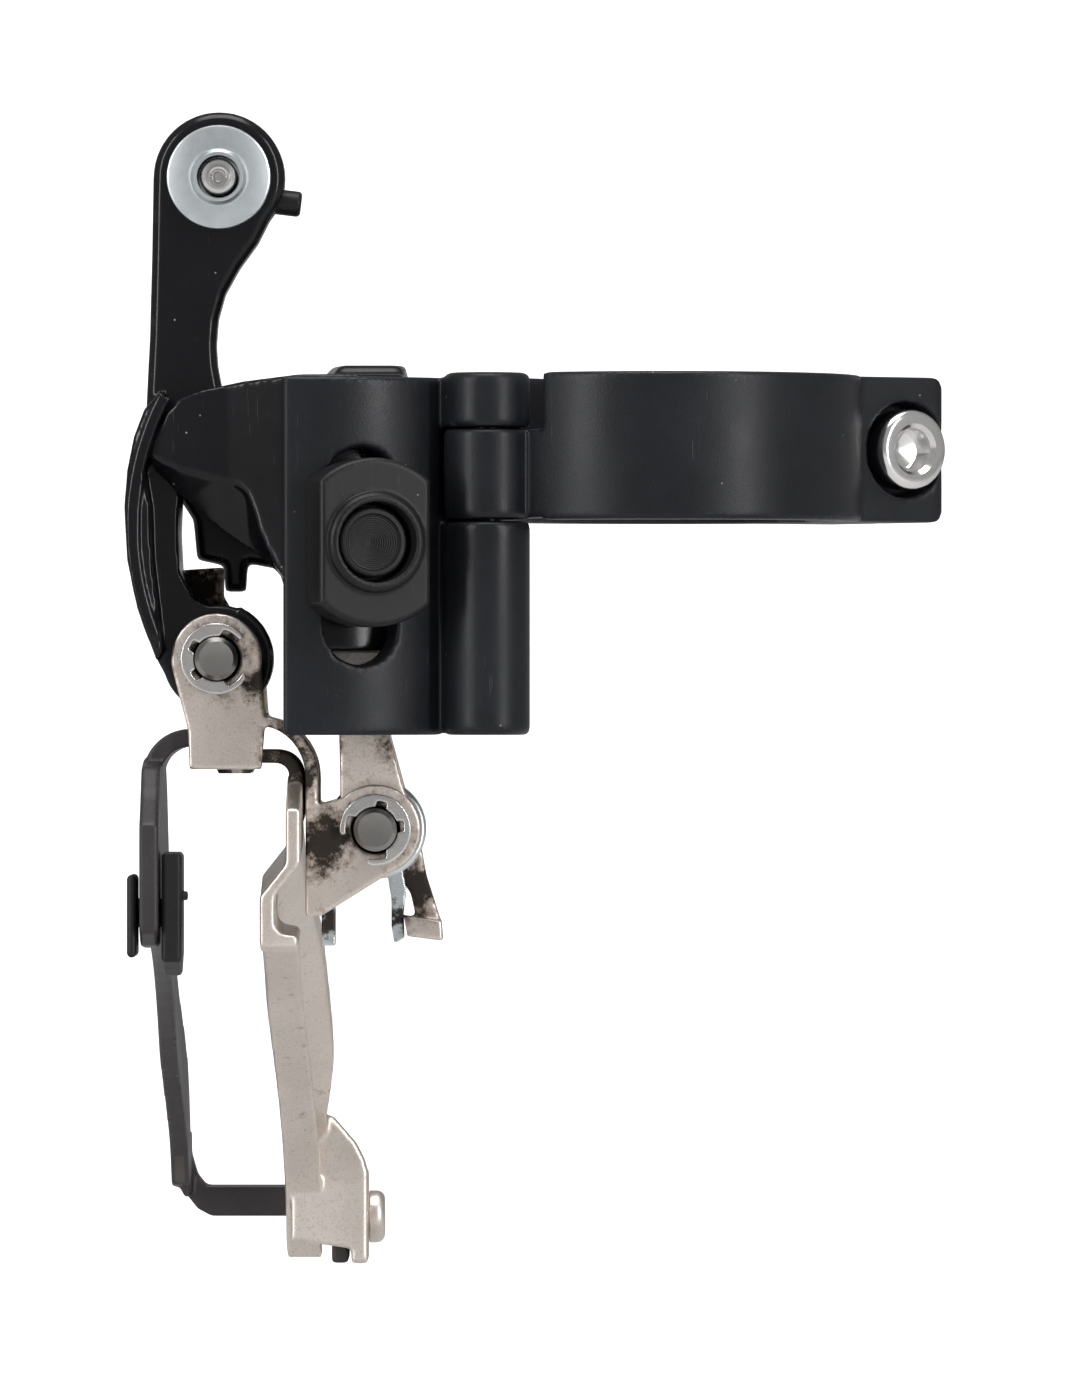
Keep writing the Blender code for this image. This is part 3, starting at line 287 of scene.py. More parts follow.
def softened(mesh, voxel, passes):
    """The mesh rebuilt from small even faces, its edges rounded by smoothing."""
    base = add_object("work", mesh)
    remesh = base.modifiers.new("remesh", "REMESH")
    remesh.mode = "VOXEL"
    remesh.voxel_size = voxel * MM
    smooth = base.modifiers.new("smooth", "SMOOTH")
    smooth.factor = 0.5
    smooth.iterations = passes
    made = evaluated_mesh(base)
    bpy.data.objects.remove(base, do_unlink=True)
    return made


def node_mesh(node):
    """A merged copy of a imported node's mesh."""
    work = bmesh.new()
    work.from_mesh(frame["nodes"][node].data)
    bmesh.ops.remove_doubles(work, verts=work.verts, dist=0.000001)
    mesh = bpy.data.meshes.new("copy")
    work.to_mesh(mesh)
    work.free()
    return mesh


def piece(name, mesh, look, body, nodes, sharp=None):
    """A finished piece: its material and shading, its body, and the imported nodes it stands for."""
    mesh.materials.clear()
    mesh.materials.append(look)
    mesh.shade_smooth()
    if sharp:
        mesh.set_sharp_from_angle(angle=math.radians(sharp))
    thing = add_object(name, mesh)
    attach(thing, body)
    if nodes:
        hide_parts(*nodes)
    return thing


def new_node(tree, kind, **values):
    node = tree.nodes.new(kind)
    for key, value in values.items():
        setattr(node, key, value)
    return node


def feed(tree, socket, value):
    if isinstance(value, bpy.types.NodeSocket):
        tree.links.new(value, socket)
    elif isinstance(value, tuple) and socket.type == "RGBA":
        socket.default_value = (*value, 1)
    else:
        socket.default_value = value


def maths(tree, operation, one, two, clamp=False):
    node = new_node(tree, "ShaderNodeMath", operation=operation, use_clamp=clamp)
    feed(tree, node.inputs[0], one)
    feed(tree, node.inputs[1], two)
    return node.outputs[0]


def spread(tree, value, low, high, to_low=0.0, to_high=1.0):
    node = new_node(tree, "ShaderNodeMapRange")
    settings = {"Value": value, "From Min": low, "From Max": high, "To Min": to_low,
                "To Max": to_high}
    for name, number in settings.items():
        feed(tree, node.inputs[name], number)
    return node.outputs["Result"]


def blend_colour(tree, share, one, two):
    node = new_node(tree, "ShaderNodeMix", data_type="RGBA")
    feed(tree, node.inputs[0], share)
    feed(tree, node.inputs[6], one)
    feed(tree, node.inputs[7], two)
    return node.outputs[2]


def noise(tree, place, scale, detail=3.0, roughness=0.5):
    node = new_node(tree, "ShaderNodeTexNoise")
    tree.links.new(place, node.inputs["Vector"])
    node.inputs["Scale"].default_value = scale
    node.inputs["Detail"].default_value = detail
    node.inputs["Roughness"].default_value = roughness
    return node.outputs["Fac"]


def detail_group():
    """Masks that every finish here shares: grain, smudges, fine scratches and dust."""
    tree = bpy.data.node_groups.new("surface detail", "ShaderNodeTree")
    for name in ("Grain", "Smudge", "Scratch", "Dust"):
        tree.interface.new_socket(name, in_out="OUTPUT", socket_type="NodeSocketFloat")
    out = new_node(tree, "NodeGroupOutput")
    place = new_node(tree, "ShaderNodeTexCoord").outputs["Object"]
    tree.links.new(noise(tree, place, 4200), out.inputs["Grain"])
    smudge = noise(tree, place, 95, 7.0, 0.62)
    tree.links.new(smudge, out.inputs["Smudge"])

    lines = 0.0
    for turn, seed in ((28, 0.0), (-47, 0.35), (80, 0.71)):
        mapping = new_node(tree, "ShaderNodeMapping")
        mapping.inputs["Location"].default_value = (seed, seed, seed)
        mapping.inputs["Rotation"].default_value = (0.3, math.radians(turn), 0.4)
        mapping.inputs["Scale"].default_value = (4200, 4200, 190)
        tree.links.new(place, mapping.inputs["Vector"])
        streak = spread(tree, noise(tree, mapping.outputs[0], 1.0, 1.0), 0.74, 0.78)
        lines = maths(tree, "MAXIMUM", lines, streak)
    patchy = spread(tree, smudge, 0.52, 0.64)
    tree.links.new(maths(tree, "MULTIPLY", lines, patchy), out.inputs["Scratch"])

    specks = new_node(tree, "ShaderNodeTexVoronoi")
    specks.inputs["Scale"].default_value = 700
    tree.links.new(place, specks.inputs["Vector"])
    small = spread(tree, specks.outputs["Distance"], 0.085, 0.05)
    share = new_node(tree, "ShaderNodeSeparateColor")
    tree.links.new(specks.outputs["Color"], share.inputs[0])
    rare = maths(tree, "GREATER_THAN", share.outputs[0], 0.88)
    tree.links.new(maths(tree, "MULTIPLY", small, rare), out.inputs["Dust"])
    return tree


surface_detail = detail_group()


def start_look(name):
    """A new material: its tree, its shader and the shared masks."""
    made = bpy.data.materials.new(name)
    made.use_nodes = True
    masks = new_node(made.node_tree, "ShaderNodeGroup", node_tree=surface_detail)
    return made, made.node_tree, made.node_tree.nodes["Principled BSDF"], masks.outputs


def bumped(tree, shader, height, distance):
    bump = new_node(tree, "ShaderNodeBump")
    bump.inputs["Distance"].default_value = distance * MM
    tree.links.new(height, bump.inputs["Height"])
    tree.links.new(bump.outputs["Normal"], shader.inputs["Normal"])


def black_look(name, colour, wear_and_highlight_colour, roughness, grain, metallic=0.0, scratch=0.5, dust=0.5,
               edge=0.35):
    """Anodising, paint or oxide: smudges, fine scratches, dust, edges lightened partly as wear and
    partly as a painted highlight, and a grain bump.
    """
    made, tree, shader, masks = start_look(name)
    lighter = tuple(c * 1.5 for c in colour)
    tint = blend_colour(tree, spread(tree, masks["Smudge"], 0.3, 0.7), colour, lighter)
    # Convex edges are lightened towards the worn colour: partly wear, partly a painted highlight
    # along the edges. edge sets how much.
    edges = new_node(tree, "ShaderNodeNewGeometry").outputs["Pointiness"]
    sharp = spread(tree, edges, 0.54, 0.62)
    worn_and_highlit_edges = maths(tree, "MULTIPLY", sharp, spread(tree, masks["Smudge"], 0.4, 0.6))
    wear_and_edge_highlight = maths(tree, "MAXIMUM", maths(tree, "MULTIPLY", masks["Scratch"], scratch),
                  maths(tree, "MULTIPLY", worn_and_highlit_edges, edge))
    tint = blend_colour(tree, wear_and_edge_highlight, tint, wear_and_highlight_colour)
    dusty = maths(tree, "MULTIPLY", masks["Dust"], dust)
    tint = blend_colour(tree, dusty, tint, (0.42, 0.41, 0.39))
    tree.links.new(tint, shader.inputs["Base Color"])
    shader.inputs["Metallic"].default_value = metallic
    shader.inputs["Specular IOR Level"].default_value = 0.3
    rough = spread(tree, masks["Smudge"], 0.3, 0.7, roughness * 0.88, roughness * 1.16)
    tree.links.new(maths(tree, "ADD", rough, maths(tree, "MULTIPLY", masks["Dust"], 0.3)),
                   shader.inputs["Roughness"])
    bumped(tree, shader, masks["Grain"], grain)
    return made


anodised = black_look("satin black anodising", (0.0075, 0.008, 0.0105), (0.09, 0.09, 0.095),
                      0.38, 0.014)


def ring_outline(side, hinge_edge):
    inner_start = math.degrees(math.asin(SPLIT_GAP / BORE))
    inner_end = 180 - math.degrees(math.asin(hinge_edge / BORE))
    outer_end = 180 - math.degrees(math.asin(hinge_edge / (BORE + BAND_WALL)))
    lug = math.degrees(math.asin(LUG_DEPTH / (BORE + BAND_WALL)))
    outline = arc((0, 0), BORE, inner_start, inner_end, 90)
    outline += arc((0, 0), BORE + BAND_WALL, outer_end, lug, 90)
    outline += arc((LUG_REACH - 1.0, LUG_DEPTH - 1.0), 1.0, 90, 0, 4) + [(LUG_REACH, SPLIT_GAP)]
    return [(p, q * side) for p, q in outline]


def lug_corner(end):
    """A cutter that rounds one corner of the lugs, at their top or their bottom."""
    centre = (LUG_REACH - LUG_CORNER, HALF_BAND - LUG_CORNER)
    beyond = (LUG_REACH + 1, HALF_BAND + 1)
    outline = [(beyond[0], centre[1]), beyond, (centre[0], beyond[1])]
    outline += arc(centre, LUG_CORNER, 90, 0, 12)
    return bar([(p, q * end) for p, q in outline], -15, 15,
               lambda p, q, r: along_split * p + across_split * r + UP * q)


def tab_point(p, q, r):
    """p across the slot, q up, r out from the tab's centre of curvature."""
    return TAB_AXIS + slot_side * p + slot_way * r + UP * q


web_from_hinge = [(-6.66, 2.94), (-3.86, -0.56), (-0.66, 2.24), (1.04, 7.24), (-0.16, 11.64),
                  (-4.66, 7.44)]
web_outline = [(hinge.x + p, hinge.y + q) for p, q in web_from_hinge]
tab_outline = arc(TAB_AXIS, TAB_FRONT, -98, -40, 60) + arc(TAB_AXIS, TAB_BACK, -40, -98, 60)
slot_outline = arc((0, SLOT_TOP - SLOT_HALF), SLOT_HALF, 0, 180, 32)
slot_outline += arc((0, SLOT_BOTTOM + SLOT_HALF), SLOT_HALF, 180, 360, 32)
far_half = joined(
    [
        upright(tab_outline, TAB_BOTTOM, TAB_TOP),
        upright(circle(hinge.xy, KNUCKLE_RADIUS), TAB_BOTTOM, -HALF_BAND - 0.1, 0.5),
        upright(circle(hinge.xy, KNUCKLE_RADIUS), KNUCKLE_TOP - 0.5, HALF_BAND - 0.02, 0.6),
        split_bar(ring_outline(-1, SPLIT_GAP), -HALF_BAND, HALF_BAND),
        upright(web_outline, TAB_BOTTOM + 1.0, TAB_TOP - 0.2),
    ],
    [
        split_bar(circle((-hinge.length, 0), KNUCKLE_RADIUS + 0.5), -HALF_BAND - 0.1,
                  KNUCKLE_TOP + 0.15),
        lug_corner(1),
        lug_corner(-1),
        bar(slot_outline, TAB_BACK - 3, TAB_FRONT + 3, tab_point),
        rod((0, 0, 0), UP, TAB_BOTTOM - 1, HALF_BAND + 1, BORE, 160),
        rod(hinge, UP, -17, HALF_BAND + 1, 1.8),
        rod(bolt_foot, across_split, -LUG_DEPTH - 1, 1, 3.4),
    ],
)
piece("band_far_half", softened(far_half, 0.32, 9), anodised, "clamp", ["clamp_body"])

root = arc((0, 0), BORE, 150, 178.7, 20) + arc((0, 0), BORE + BAND_WALL, 178.9, 150, 20)
near_half = joined(
    [
        split_bar(ring_outline(1, 6.0), -HALF_BAND, HALF_BAND),
        split_bar(root, -HALF_BAND + 0.2, KNUCKLE_TOP - 0.05),
        split_bar(circle((-hinge.length, 0), KNUCKLE_RADIUS), -HALF_BAND + 0.1, KNUCKLE_TOP, 0.4),
    ],
    [
        rod(hinge, UP, -HALF_BAND - 1, KNUCKLE_TOP + 1, 1.8),
        rod(bolt_foot, across_split, 0, LUG_DEPTH + 1, 2.8),
        rod(bolt_foot, across_split, LUG_DEPTH - 3.5, LUG_DEPTH + 1, 5.05, 96),
        lug_corner(1),
        lug_corner(-1),
    ],
)
piece("band_near_half", softened(near_half, 0.28, 10), anodised, "band", ["clamp_band"])


# ---------------------------------------------------------------------------------------------
# Hinge pin, limit screws, link shafts and rivets.
# Plain ground or rolled steel, dark with oil; the hinge pin is black like the band it is pressed
# into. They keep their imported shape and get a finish.


def steel_look(name, colour, roughness, grain, stain, metallic=1.0):
    """Bare or plated steel: cloudy stains, scratches and a fine grain."""
    made, tree, shader, masks = start_look(name)
    darker = tuple(c * 0.72 for c in colour)
    tint = blend_colour(tree, spread(tree, masks["Smudge"], 0.62, 0.42), darker, colour)
    spots = spread(tree, masks["Smudge"], 0.62, 0.74)
    tint = blend_colour(tree, maths(tree, "MULTIPLY", spots, stain), tint, (0.10, 0.07, 0.05))
    scratched = maths(tree, "MULTIPLY", masks["Scratch"], 0.35)
    tint = blend_colour(tree, scratched, tint, (0.85, 0.85, 0.85))
    tree.links.new(tint, shader.inputs["Base Color"])
    shader.inputs["Metallic"].default_value = metallic
    rough = spread(tree, masks["Smudge"], 0.3, 0.7, roughness * 0.8, roughness * 1.35)
    tree.links.new(rough, shader.inputs["Roughness"])
    bumped(tree, shader, masks["Grain"], grain)
    return made


dark_steel = steel_look("dark oiled steel", (0.36, 0.345, 0.33), 0.3, 0.005, 0.5)
frame["nodes"]["hinge_pin"].material_slots[0].material = anodised
for node in ("low_limit_screw", "high_limit_screw", "upper_outer_pin", "upper_inner_pin",
             "front_rivet", "rear_rivet"):
    thing = frame["nodes"][node]
    for slot in thing.material_slots:
        slot.material = dark_steel


# ---------------------------------------------------------------------------------------------
# Clamp bolt: an M5 socket bolt in polished chrome.
# The head is turned with a round rim, and its hexagon is broached below a small chamfer.

BOLT_RADIUS = 2.5
HEAD_RADIUS = 4.25
HEAD_SEAT = LUG_DEPTH - 3.2
HEAD_TOP = HEAD_SEAT + 4.7
SOCKET = 4.0
THREAD_PITCH = 0.8

chrome = steel_look("polished chrome", (0.90, 0.89, 0.88), 0.17, 0.002, 0.25)

bolt_profile = [(BOLT_RADIUS - 0.4, -LUG_DEPTH + 2.0)]
for turn in range(14):
    crest = -LUG_DEPTH + 2.4 + turn * THREAD_PITCH
    bolt_profile += [(BOLT_RADIUS, crest), (BOLT_RADIUS, crest + 0.2)]
    bolt_profile += [(BOLT_RADIUS - 0.35, crest + 0.5)]
bolt_profile += [(BOLT_RADIUS, HEAD_SEAT - 0.4), (BOLT_RADIUS, HEAD_SEAT)]
bolt_profile += rounded(HEAD_RADIUS, HEAD_SEAT, 0.25, -1) + rounded(HEAD_RADIUS, HEAD_TOP, 0.75)
bolt_profile += [(2.75, HEAD_TOP), (2.3, HEAD_TOP - 0.45)]
socket_floor = HEAD_TOP - 2.4
clamp_bolt = joined(
    [turned(bolt_profile, bolt_foot, across_split)],
    [hexagon_bar(bolt_foot, across_split, socket_floor, HEAD_TOP + 1, SOCKET, 12),
     turned([(1.95, socket_floor + 0.1), (0.3, socket_floor - 0.8)], bolt_foot, across_split)],
)
piece("clamp_bolt_chrome", clamp_bolt, chrome, "band_bolt", ["clamp_bolt"], 35)


# ---------------------------------------------------------------------------------------------
# Double-D washer and mounting bolt.
# Machined steel with a black oxide finish. The washer's collar stands round a deep round well,
# and the bolt at its bottom has a turned cone with rings left by the tool.

FIXING = TAB_AXIS + UP * -10.1
WELL_SEAT = 20.6
FIXING_HEAD = 3.7

oxide = black_look("black oxide", (0.011, 0.0105, 0.011), (0.10, 0.095, 0.09), 0.38, 0.010, 0.2,
                   edge=0.15)
piece("washer_double_d", softened(node_mesh("radius_washer"), 0.17, 5), oxide, "base",
      ["radius_washer"])

bolt_profile = [(2.5, 6.5), (2.5, WELL_SEAT)] + rounded(FIXING_HEAD, WELL_SEAT, 0.2, -1)
bolt_profile += rounded(FIXING_HEAD, WELL_SEAT + 2.0, 0.35) + [(3.0, WELL_SEAT + 2.0)]
for ring in range(12):
    radius = 2.85 - ring * 0.22
    depth = WELL_SEAT + 1.75 - ring * 0.10
    bolt_profile += [(radius, depth), (radius - 0.14, depth - 0.03), (radius - 0.18, depth - 0.12)]
piece("mounting_bolt_black", turned(bolt_profile, FIXING, slot_way), oxide, "fixing_bolt",
      ["mounting_bolt"], 40)


# ---------------------------------------------------------------------------------------------
# Base bracket: the block behind the tab that carries both upper link shafts.
# Forged aluminium in gloss black. The broad facet under its front wall is part of the forging.

gloss = black_look("gloss black paint", (0.0045, 0.0045, 0.0055), (0.08, 0.08, 0.085), 0.2, 0.004,
                   dust=0.6, edge=0.1)
piece("base_forging", softened(node_mesh("base_bracket"), 0.24, 14), gloss, "base",
      ["base_bracket"])


# ---------------------------------------------------------------------------------------------
# Outer link with its cable arm.
# One aluminium forging in gloss black: arm, curved cheek with a raised rim, and a boss below
# whose edge is toothed and dirty. The cheek's rim is added here. So is a fine groove in the arm,
# of which the softening leaves only a faint dent.

lower_outer = sum((Vector(corner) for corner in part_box("lower_outer_pin")), Vector()) / 2 / MM
BOSS_RADIUS = 5.65
CHEEK_CENTRE = (-25.90, -8.57)
CHEEK_RADIUS = 30.49
link_parts = [node_mesh("outer_link")]
for inset in (0.05, 0.85):
    bead = arc(CHEEK_CENTRE, CHEEK_RADIUS - inset, 152.3, 202.8, 60)
    bead += arc(CHEEK_CENTRE, CHEEK_RADIUS - inset - 0.45, 202.8, 152.3, 60)
    link_parts.append(lengthwise(bead, -12.4, -9.0))
for turn in range(-48, 70, 7):
    angle = math.radians(turn)
    tooth_x = lower_outer.x + BOSS_RADIUS * math.cos(angle)
    tooth_z = lower_outer.z + BOSS_RADIUS * math.sin(angle)
    link_parts.append(rod((tooth_x, 0, tooth_z), REARWARD, -8.9, -6.4, 0.34, 8))
groove = lengthwise([(-49.6, 7.0), (-49.1, 7.0), (-49.1, 11.2), (-49.35, 12.0), (-49.6, 11.2)],
                    -7.0, -5.7)
piece("arm_forging", softened(joined(link_parts, [groove]), 0.25, 5), gloss, "arm_link",
      ["outer_link"])


# ---------------------------------------------------------------------------------------------
# Cable clamp: the zinc plated washer, the tip of the anchor bolt, and the black guide pin.
# The washer is a turned disc with a low cone round its hole; the bolt's tip is swaged in a ring.

anchor = Vector(joints["cable_bolt_turn"]["pos_m"]) / MM
washer_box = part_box("cable_washer")
washer_face = washer_box[1].y / MM

zinc = steel_look("zinc plating", (0.74, 0.79, 0.81), 0.33, 0.006, 0.4)
profile = [(5.3, washer_face), (5.45, washer_face - 0.15)] + [(5.45, washer_face - 1.3)]
profile += [(5.38, washer_face - 1.5), (5.2, washer_face - 1.6), (3.3, washer_face - 1.6)]
profile += [(2.95, washer_face - 1.7), (2.75, washer_face - 2.1), (2.6, washer_face - 2.25)]
profile += [(2.3, washer_face - 2.3)]
cable_washer = joined([turned(profile, anchor, REARWARD)], [rod(anchor, REARWARD, -12, 0, 2.25)])
piece("cable_washer_zinc", cable_washer, zinc, "arm_link", ["cable_washer"], 35)

tip = washer_face - 2.3
profile = [(0.35, tip + 0.15), (0.55, tip - 0.05), (0.85, tip + 0.35), (1.05, tip + 0.3)]
profile += [(1.35, tip - 0.1), (1.7, tip), (1.9, tip + 0.25), (1.95, tip + 0.5)]
profile += [(1.95, -0.1), (3.8, -0.1), (4.0, 0.1), (4.0, 2.6)]
profile += [(3.9, 2.9), (3.5, 3.2), (2.6, 3.2), (2.35, 2.9)]
cable_bolt = joined([turned(profile, anchor, REARWARD)],
                    [hexagon_bar(anchor, REARWARD, 1.3, 4.0, SOCKET, 10)])
piece("anchor_bolt_chrome", cable_bolt, chrome, "anchor_bolt", ["cable_bolt"], 35)

guide = softened(node_mesh("cable_guide_pin"), 0.12, 5)
piece("guide_pin_black", guide, oxide, "arm_link", ["cable_guide_pin"])


# ---------------------------------------------------------------------------------------------
# Nickel plated steel: the inner link, the cage bracket and the inner cage plate.
# All three are pressed from sheet and barrel plated, so the satin surface is slightly orange
# peeled, and brown-black road grime sits round the pivots.

GRIME_COLOUR = (0.022, 0.015, 0.010)
GRIME_SPOTS = (
    ((-35.4, -10.0, -41.5), 5.2, 1.0),
    ((-36.5, -2.0, -36.0), 6.0, 0.8),
    ((-41.4, -9.5, -24.5), 4.6, 0.95),
    ((-48.8, 8.5, -14.8), 4.6, 0.9),
    ((-26.0, 7.0, -46.0), 4.4, 0.85),
    ((-38.7, -8.0, -32.5), 7.0, 1.0),
    ((-38.2, 2.0, -34.0), 8.0, 0.9),
    ((-47.0, -10.5, -22.1), 6.0, 0.6),
    ((-30.4, -10.5, -40.0), 6.0, 0.6),
    ((-30.0, -8.0, -31.5), 4.0, 0.4),
    ((-46.5, 0.0, -33.8), 4.0, 0.6),
    ((-35.5, 70.0, -88.5), 3.0, 0.5),
    ((-35.3, -6.4, -50.0), 4.5, 0.8),
    ((-28.2, 5.0, -49.5), 4.5, 0.75),
)


def grime_group():
    """Road grime: dense at a few spots, breaking up outwards. Stain is its thin brown edge."""
    tree = bpy.data.node_groups.new("road grime", "ShaderNodeTree")
    for name in ("Grime", "Stain"):
        tree.interface.new_socket(name, in_out="OUTPUT", socket_type="NodeSocketFloat")
    out = new_node(tree, "NodeGroupOutput")
    place = new_node(tree, "ShaderNodeTexCoord").outputs["Object"]
    near = 0.0
    for centre, reach, amount in GRIME_SPOTS:
        gap = new_node(tree, "ShaderNodeVectorMath", operation="DISTANCE")
        tree.links.new(place, gap.inputs[0])
        gap.inputs[1].default_value = Vector(centre) * MM
        closeness = spread(tree, gap.outputs["Value"], 0.0, reach * MM, amount, 0.0)
        near = maths(tree, "MAXIMUM", near, closeness)
    cloud = noise(tree, place, 520, 9.0, 0.72)
    total = maths(tree, "ADD", cloud, maths(tree, "MULTIPLY", near, 0.5))
    tree.links.new(spread(tree, total, 0.72, 0.80), out.inputs["Grime"])
    tree.links.new(spread(tree, total, 0.58, 0.76), out.inputs["Stain"])
    return tree


road_grime = grime_group()


def nickel_look():
    made, tree, shader, masks = start_look("satin nickel")
    grime = new_node(tree, "ShaderNodeGroup", node_tree=road_grime).outputs
    cloud = spread(tree, masks["Smudge"], 0.35, 0.65)
    tint = blend_colour(tree, cloud, (0.74, 0.665, 0.60), (0.84, 0.765, 0.70))
    grain = spread(tree, masks["Grain"], 0.52, 0.72, 0.0, 0.35)
    tint = blend_colour(tree, grain, tint, (0.36, 0.31, 0.27))
    scratched = maths(tree, "MULTIPLY", masks["Scratch"], 0.4)
    tint = blend_colour(tree, scratched, tint, (0.8, 0.76, 0.7))
    stained = maths(tree, "MULTIPLY", grime["Stain"], 0.75)
    tint = blend_colour(tree, stained, tint, (0.17, 0.12, 0.085))
    tint = blend_colour(tree, grime["Grime"], tint, GRIME_COLOUR)
    tree.links.new(tint, shader.inputs["Base Color"])
    tree.links.new(spread(tree, grime["Grime"], 0.0, 1.0, 1.0, 0.05), shader.inputs["Metallic"])
    rough = spread(tree, masks["Smudge"], 0.3, 0.7, 0.32, 0.46)
    tree.links.new(maths(tree, "ADD", rough, maths(tree, "MULTIPLY", grime["Stain"], 0.35), True),
                   shader.inputs["Roughness"])
    crust = maths(tree, "ADD", maths(tree, "MULTIPLY", masks["Grain"], 0.35), grime["Grime"])
    bumped(tree, shader, crust, 0.05)
    return made


def soiled(made):
    """The same look with road grime over it."""
    tree = made.node_tree
    shader = tree.nodes["Principled BSDF"]
    grime = new_node(tree, "ShaderNodeGroup", node_tree=road_grime).outputs["Grime"]
    clean = shader.inputs["Base Color"].links[0].from_socket
    dirty = blend_colour(tree, grime, clean, GRIME_COLOUR)
    tree.links.new(dirty, shader.inputs["Base Color"])
    tree.links.new(spread(tree, grime, 0.0, 1.0, 1.0, 0.05), shader.inputs["Metallic"])
    return made


nickel = nickel_look()
piece("inner_link_nickel", softened(node_mesh("inner_link"), 0.2, 6), nickel, "link",
      ["inner_link"])
piece("cage_bracket_nickel", softened(node_mesh("cage_bracket"), 0.2, 6), nickel, "cage",
      ["cage_bracket"])
piece("inner_plate_nickel", softened(node_mesh("inner_plate"), 0.24, 16), nickel, "cage",
      ["inner_plate"])


# ---------------------------------------------------------------------------------------------
# Outer cage plate and its skid pad.
# The plate is pressed steel with a satin black coat. Its edges are lightened, partly as wear and
# partly as a painted highlight.
# The pad is moulded plastic, snapped through the plate's nose.

coated = black_look("satin black coat", (0.042, 0.038, 0.039), (0.16, 0.14, 0.125), 0.38, 0.012,
                    0.3, edge=0.4)
piece("outer_plate_black", softened(node_mesh("outer_plate"), 0.24, 12), coated, "cage",
      ["outer_plate"])

plastic = black_look("moulded black plastic", (0.009, 0.009, 0.010), (0.06, 0.06, 0.06), 0.42, 0.02,
                     dust=0.8)
piece("skid_pad_plastic", softened(node_mesh("skid_pad"), 0.15, 4), plastic, "cage", ["skid_pad"])
for slot in frame["nodes"]["spring_bush"].material_slots:
    slot.material = plastic


# ---------------------------------------------------------------------------------------------
# Lower pins, snap rings and tail screw.
# Turned steel pins with a chamfered end; each is held by a blanked snap ring with three lugs.

lower_inner = sum((Vector(corner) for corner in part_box("lower_inner_pin")), Vector()) / 2 / MM
PIN_RADIUS = 2.25
pin_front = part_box("lower_outer_pin")[0].y / MM
pin_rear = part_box("lower_outer_pin")[1].y / MM
for name, node, centre in (("outer_pin_steel", "lower_outer_pin", lower_outer),
                           ("inner_pin_steel", "lower_inner_pin", lower_inner)):
    foot = Vector((centre.x, 0, centre.z))
    profile = [(1.1, pin_front + 0.08), (1.62, pin_front + 0.02), (1.8, pin_front)]
    profile += [(PIN_RADIUS, pin_front + 0.45), (PIN_RADIUS, pin_rear - 1.5)]
    profile += rounded(3.3, pin_rear - 1.5, 0.2, -1)
    profile += rounded(3.3, pin_rear, 0.4) + [(1.6, pin_rear + 0.1)]
    piece(name, turned(profile, foot, REARWARD), dark_steel, "cage", [node], 35)


# Height over the pin, and start and end angle, of each arc round the ring's outline.
RING_ARCS = ((1.5, 38, 322), (1.35, 325, 327), (0.85, 326, 290), (0.1, 284, 228), (0.75, 224, 204),
             (0.1, 200, 160), (0.75, 156, 136), (0.1, 132, 76), (0.85, 70, 34), (1.35, 33, 35))


def snap_ring(name, node, centre, turn):
    outline = []
    for height, start, end in RING_ARCS:
        outline += arc((0, 0), PIN_RADIUS + height, start, end, 24)
    c, s = math.cos(math.radians(turn)), math.sin(math.radians(turn))
    outline = [(centre.x + p * c - q * s, centre.z + p * s + q * c) for p, q in outline]
    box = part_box(node)
    mesh = lengthwise(outline, box[0].y / MM, box[1].y / MM)
    piece(name, softened(mesh, 0.1, 3), ring_steel, "cage", [node])


ring_steel = steel_look("bright spring steel", (0.78, 0.76, 0.74), 0.24, 0.004, 0.5)
snap_ring("outer_ring_steel", "outer_snap_ring", lower_outer, 5)
snap_ring("inner_ring_steel", "inner_snap_ring", lower_inner, 222)

screw = Vector(joints["tail_screw_turn"]["pos_m"]) / MM
profile = [(1.1, -4.8), (1.55, -4.4), (1.6, -4.2), (1.6, -0.25)] + rounded(2.9, -0.25, 0.15, -1)
profile += rounded(2.9, 1.5, 0.9) + [(1.7, 1.5), (1.45, 1.3)]
tail_screw = joined([turned(profile, screw, RIGHT)], [hexagon_bar(screw, RIGHT, 0.5, 3.0, 2.5)])
piece("tail_screw_steel", tail_screw, nickel, "cage_screw", ["tail_screw"], 35)


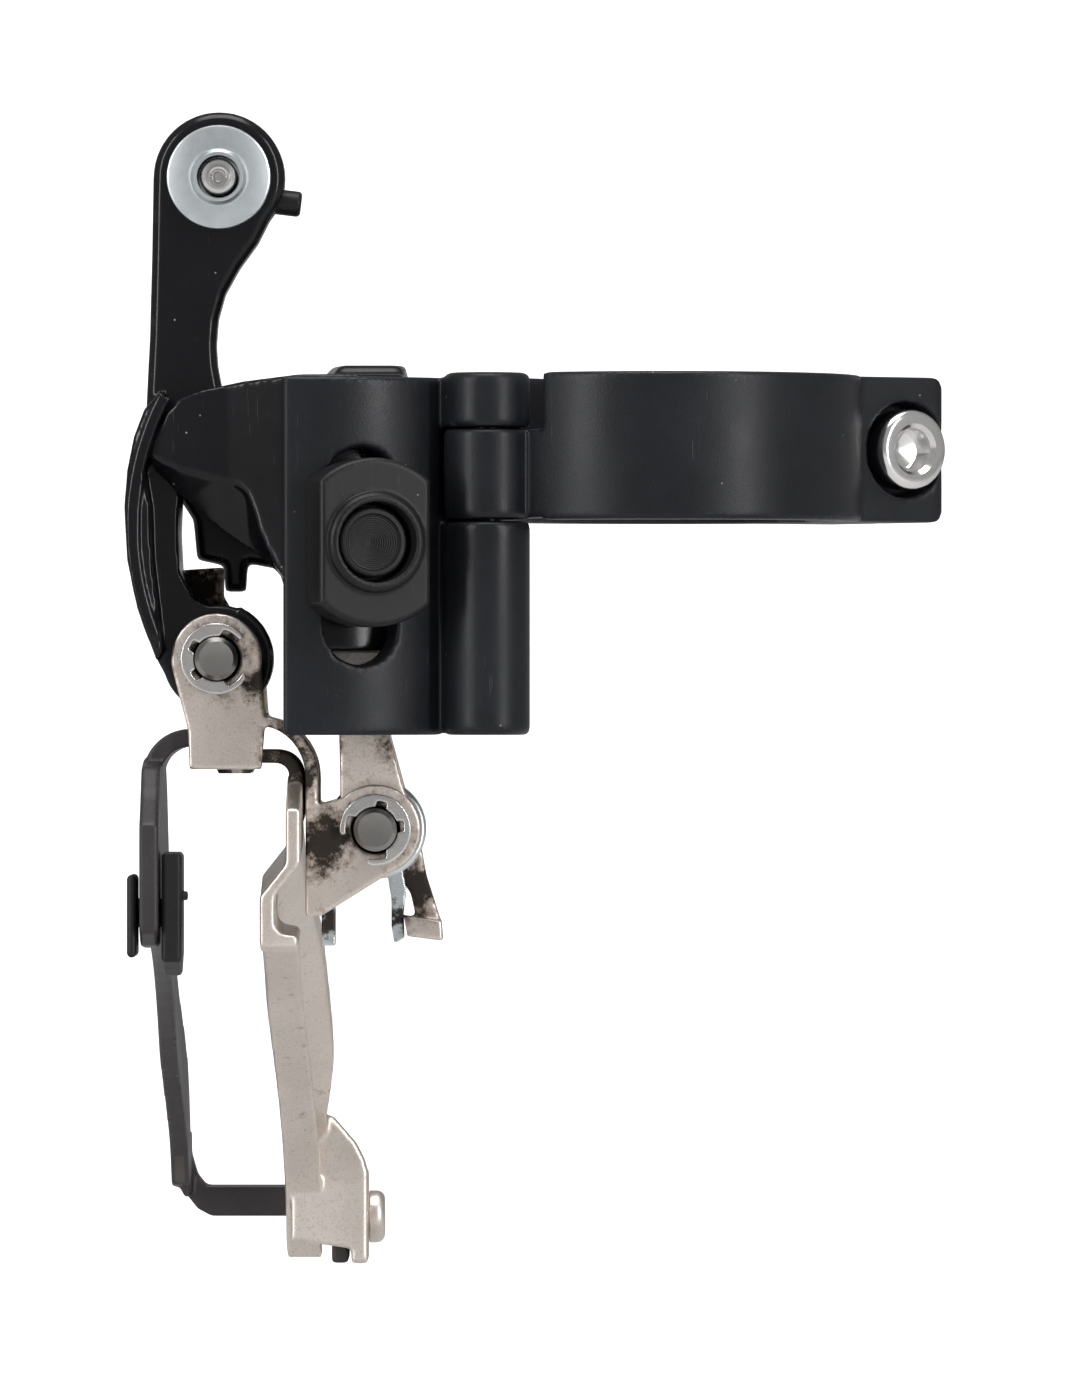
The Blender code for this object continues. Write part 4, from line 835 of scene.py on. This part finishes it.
# ---------------------------------------------------------------------------------------------
# Return spring: a torsion spring of zinc plated wire round the lower inner pin.
# The coil is one round wire; its two legs are flattened where they press on bracket and link.

COIL_RADIUS = 4.75
WIRE = 0.5
COIL_FRONT = -5.8
COIL_REAR = 4.6
COIL_TURNS = 3
COIL_STEPS = 200
START_ANGLE = 70
PART_TURN = 110

spring_zinc = soiled(steel_look("soiled zinc plating", (0.74, 0.79, 0.81), 0.33, 0.006, 0.4))

coil = bmesh.new()
wire_ring = bmesh.ops.create_circle(coil, cap_ends=True, cap_tris=False, segments=16,
                                    radius=WIRE * MM)["verts"]
bmesh.ops.translate(coil, verts=wire_ring, vec=Vector((COIL_RADIUS, 0, 0)) * MM)
coil_start = Matrix.Translation(Vector((lower_inner.x, COIL_REAR, lower_inner.z)) * MM)
bmesh.ops.transform(coil, verts=wire_ring,
                    matrix=coil_start @ Matrix.Rotation(math.radians(START_ANGLE), 4, "Y"))
bmesh.ops.spin(coil, geom=coil.faces[:] + coil.edges[:] + coil.verts[:],
               cent=Vector((lower_inner.x, 0, lower_inner.z)) * MM, axis=(0, 1, 0),
               dvec=Vector((0, (COIL_FRONT - COIL_REAR) / COIL_STEPS, 0)) * MM,
               angle=2 * math.pi * COIL_TURNS + math.radians(PART_TURN), steps=COIL_STEPS,
               use_merge=False, use_duplicate=False)
coil_mesh = to_mesh(coil)
rear_outline = [(-29.4, -43.6), (-27.9, -43.6), (-27.3, -46.4), (-27.6, -49.0), (-27.5, -51.6),
                (-28.6, -52.2), (-28.9, -50.4), (-28.9, -47.6), (-29.2, -45.8)]
rear_leg = lengthwise(rear_outline, COIL_REAR - 0.6, COIL_REAR + 0.7)
front_outline = [(-36.1, -40.2), (-34.6, -40.2), (-34.6, -52.2), (-36.1, -52.2)]
front_leg = lengthwise(front_outline, COIL_FRONT - 0.7, COIL_FRONT + 0.6)
spring = joined([coil_mesh, rear_leg, front_leg])
piece("return_spring_wire", softened(spring, 0.16, 4), spring_zinc, "cage", ["return_spring"])
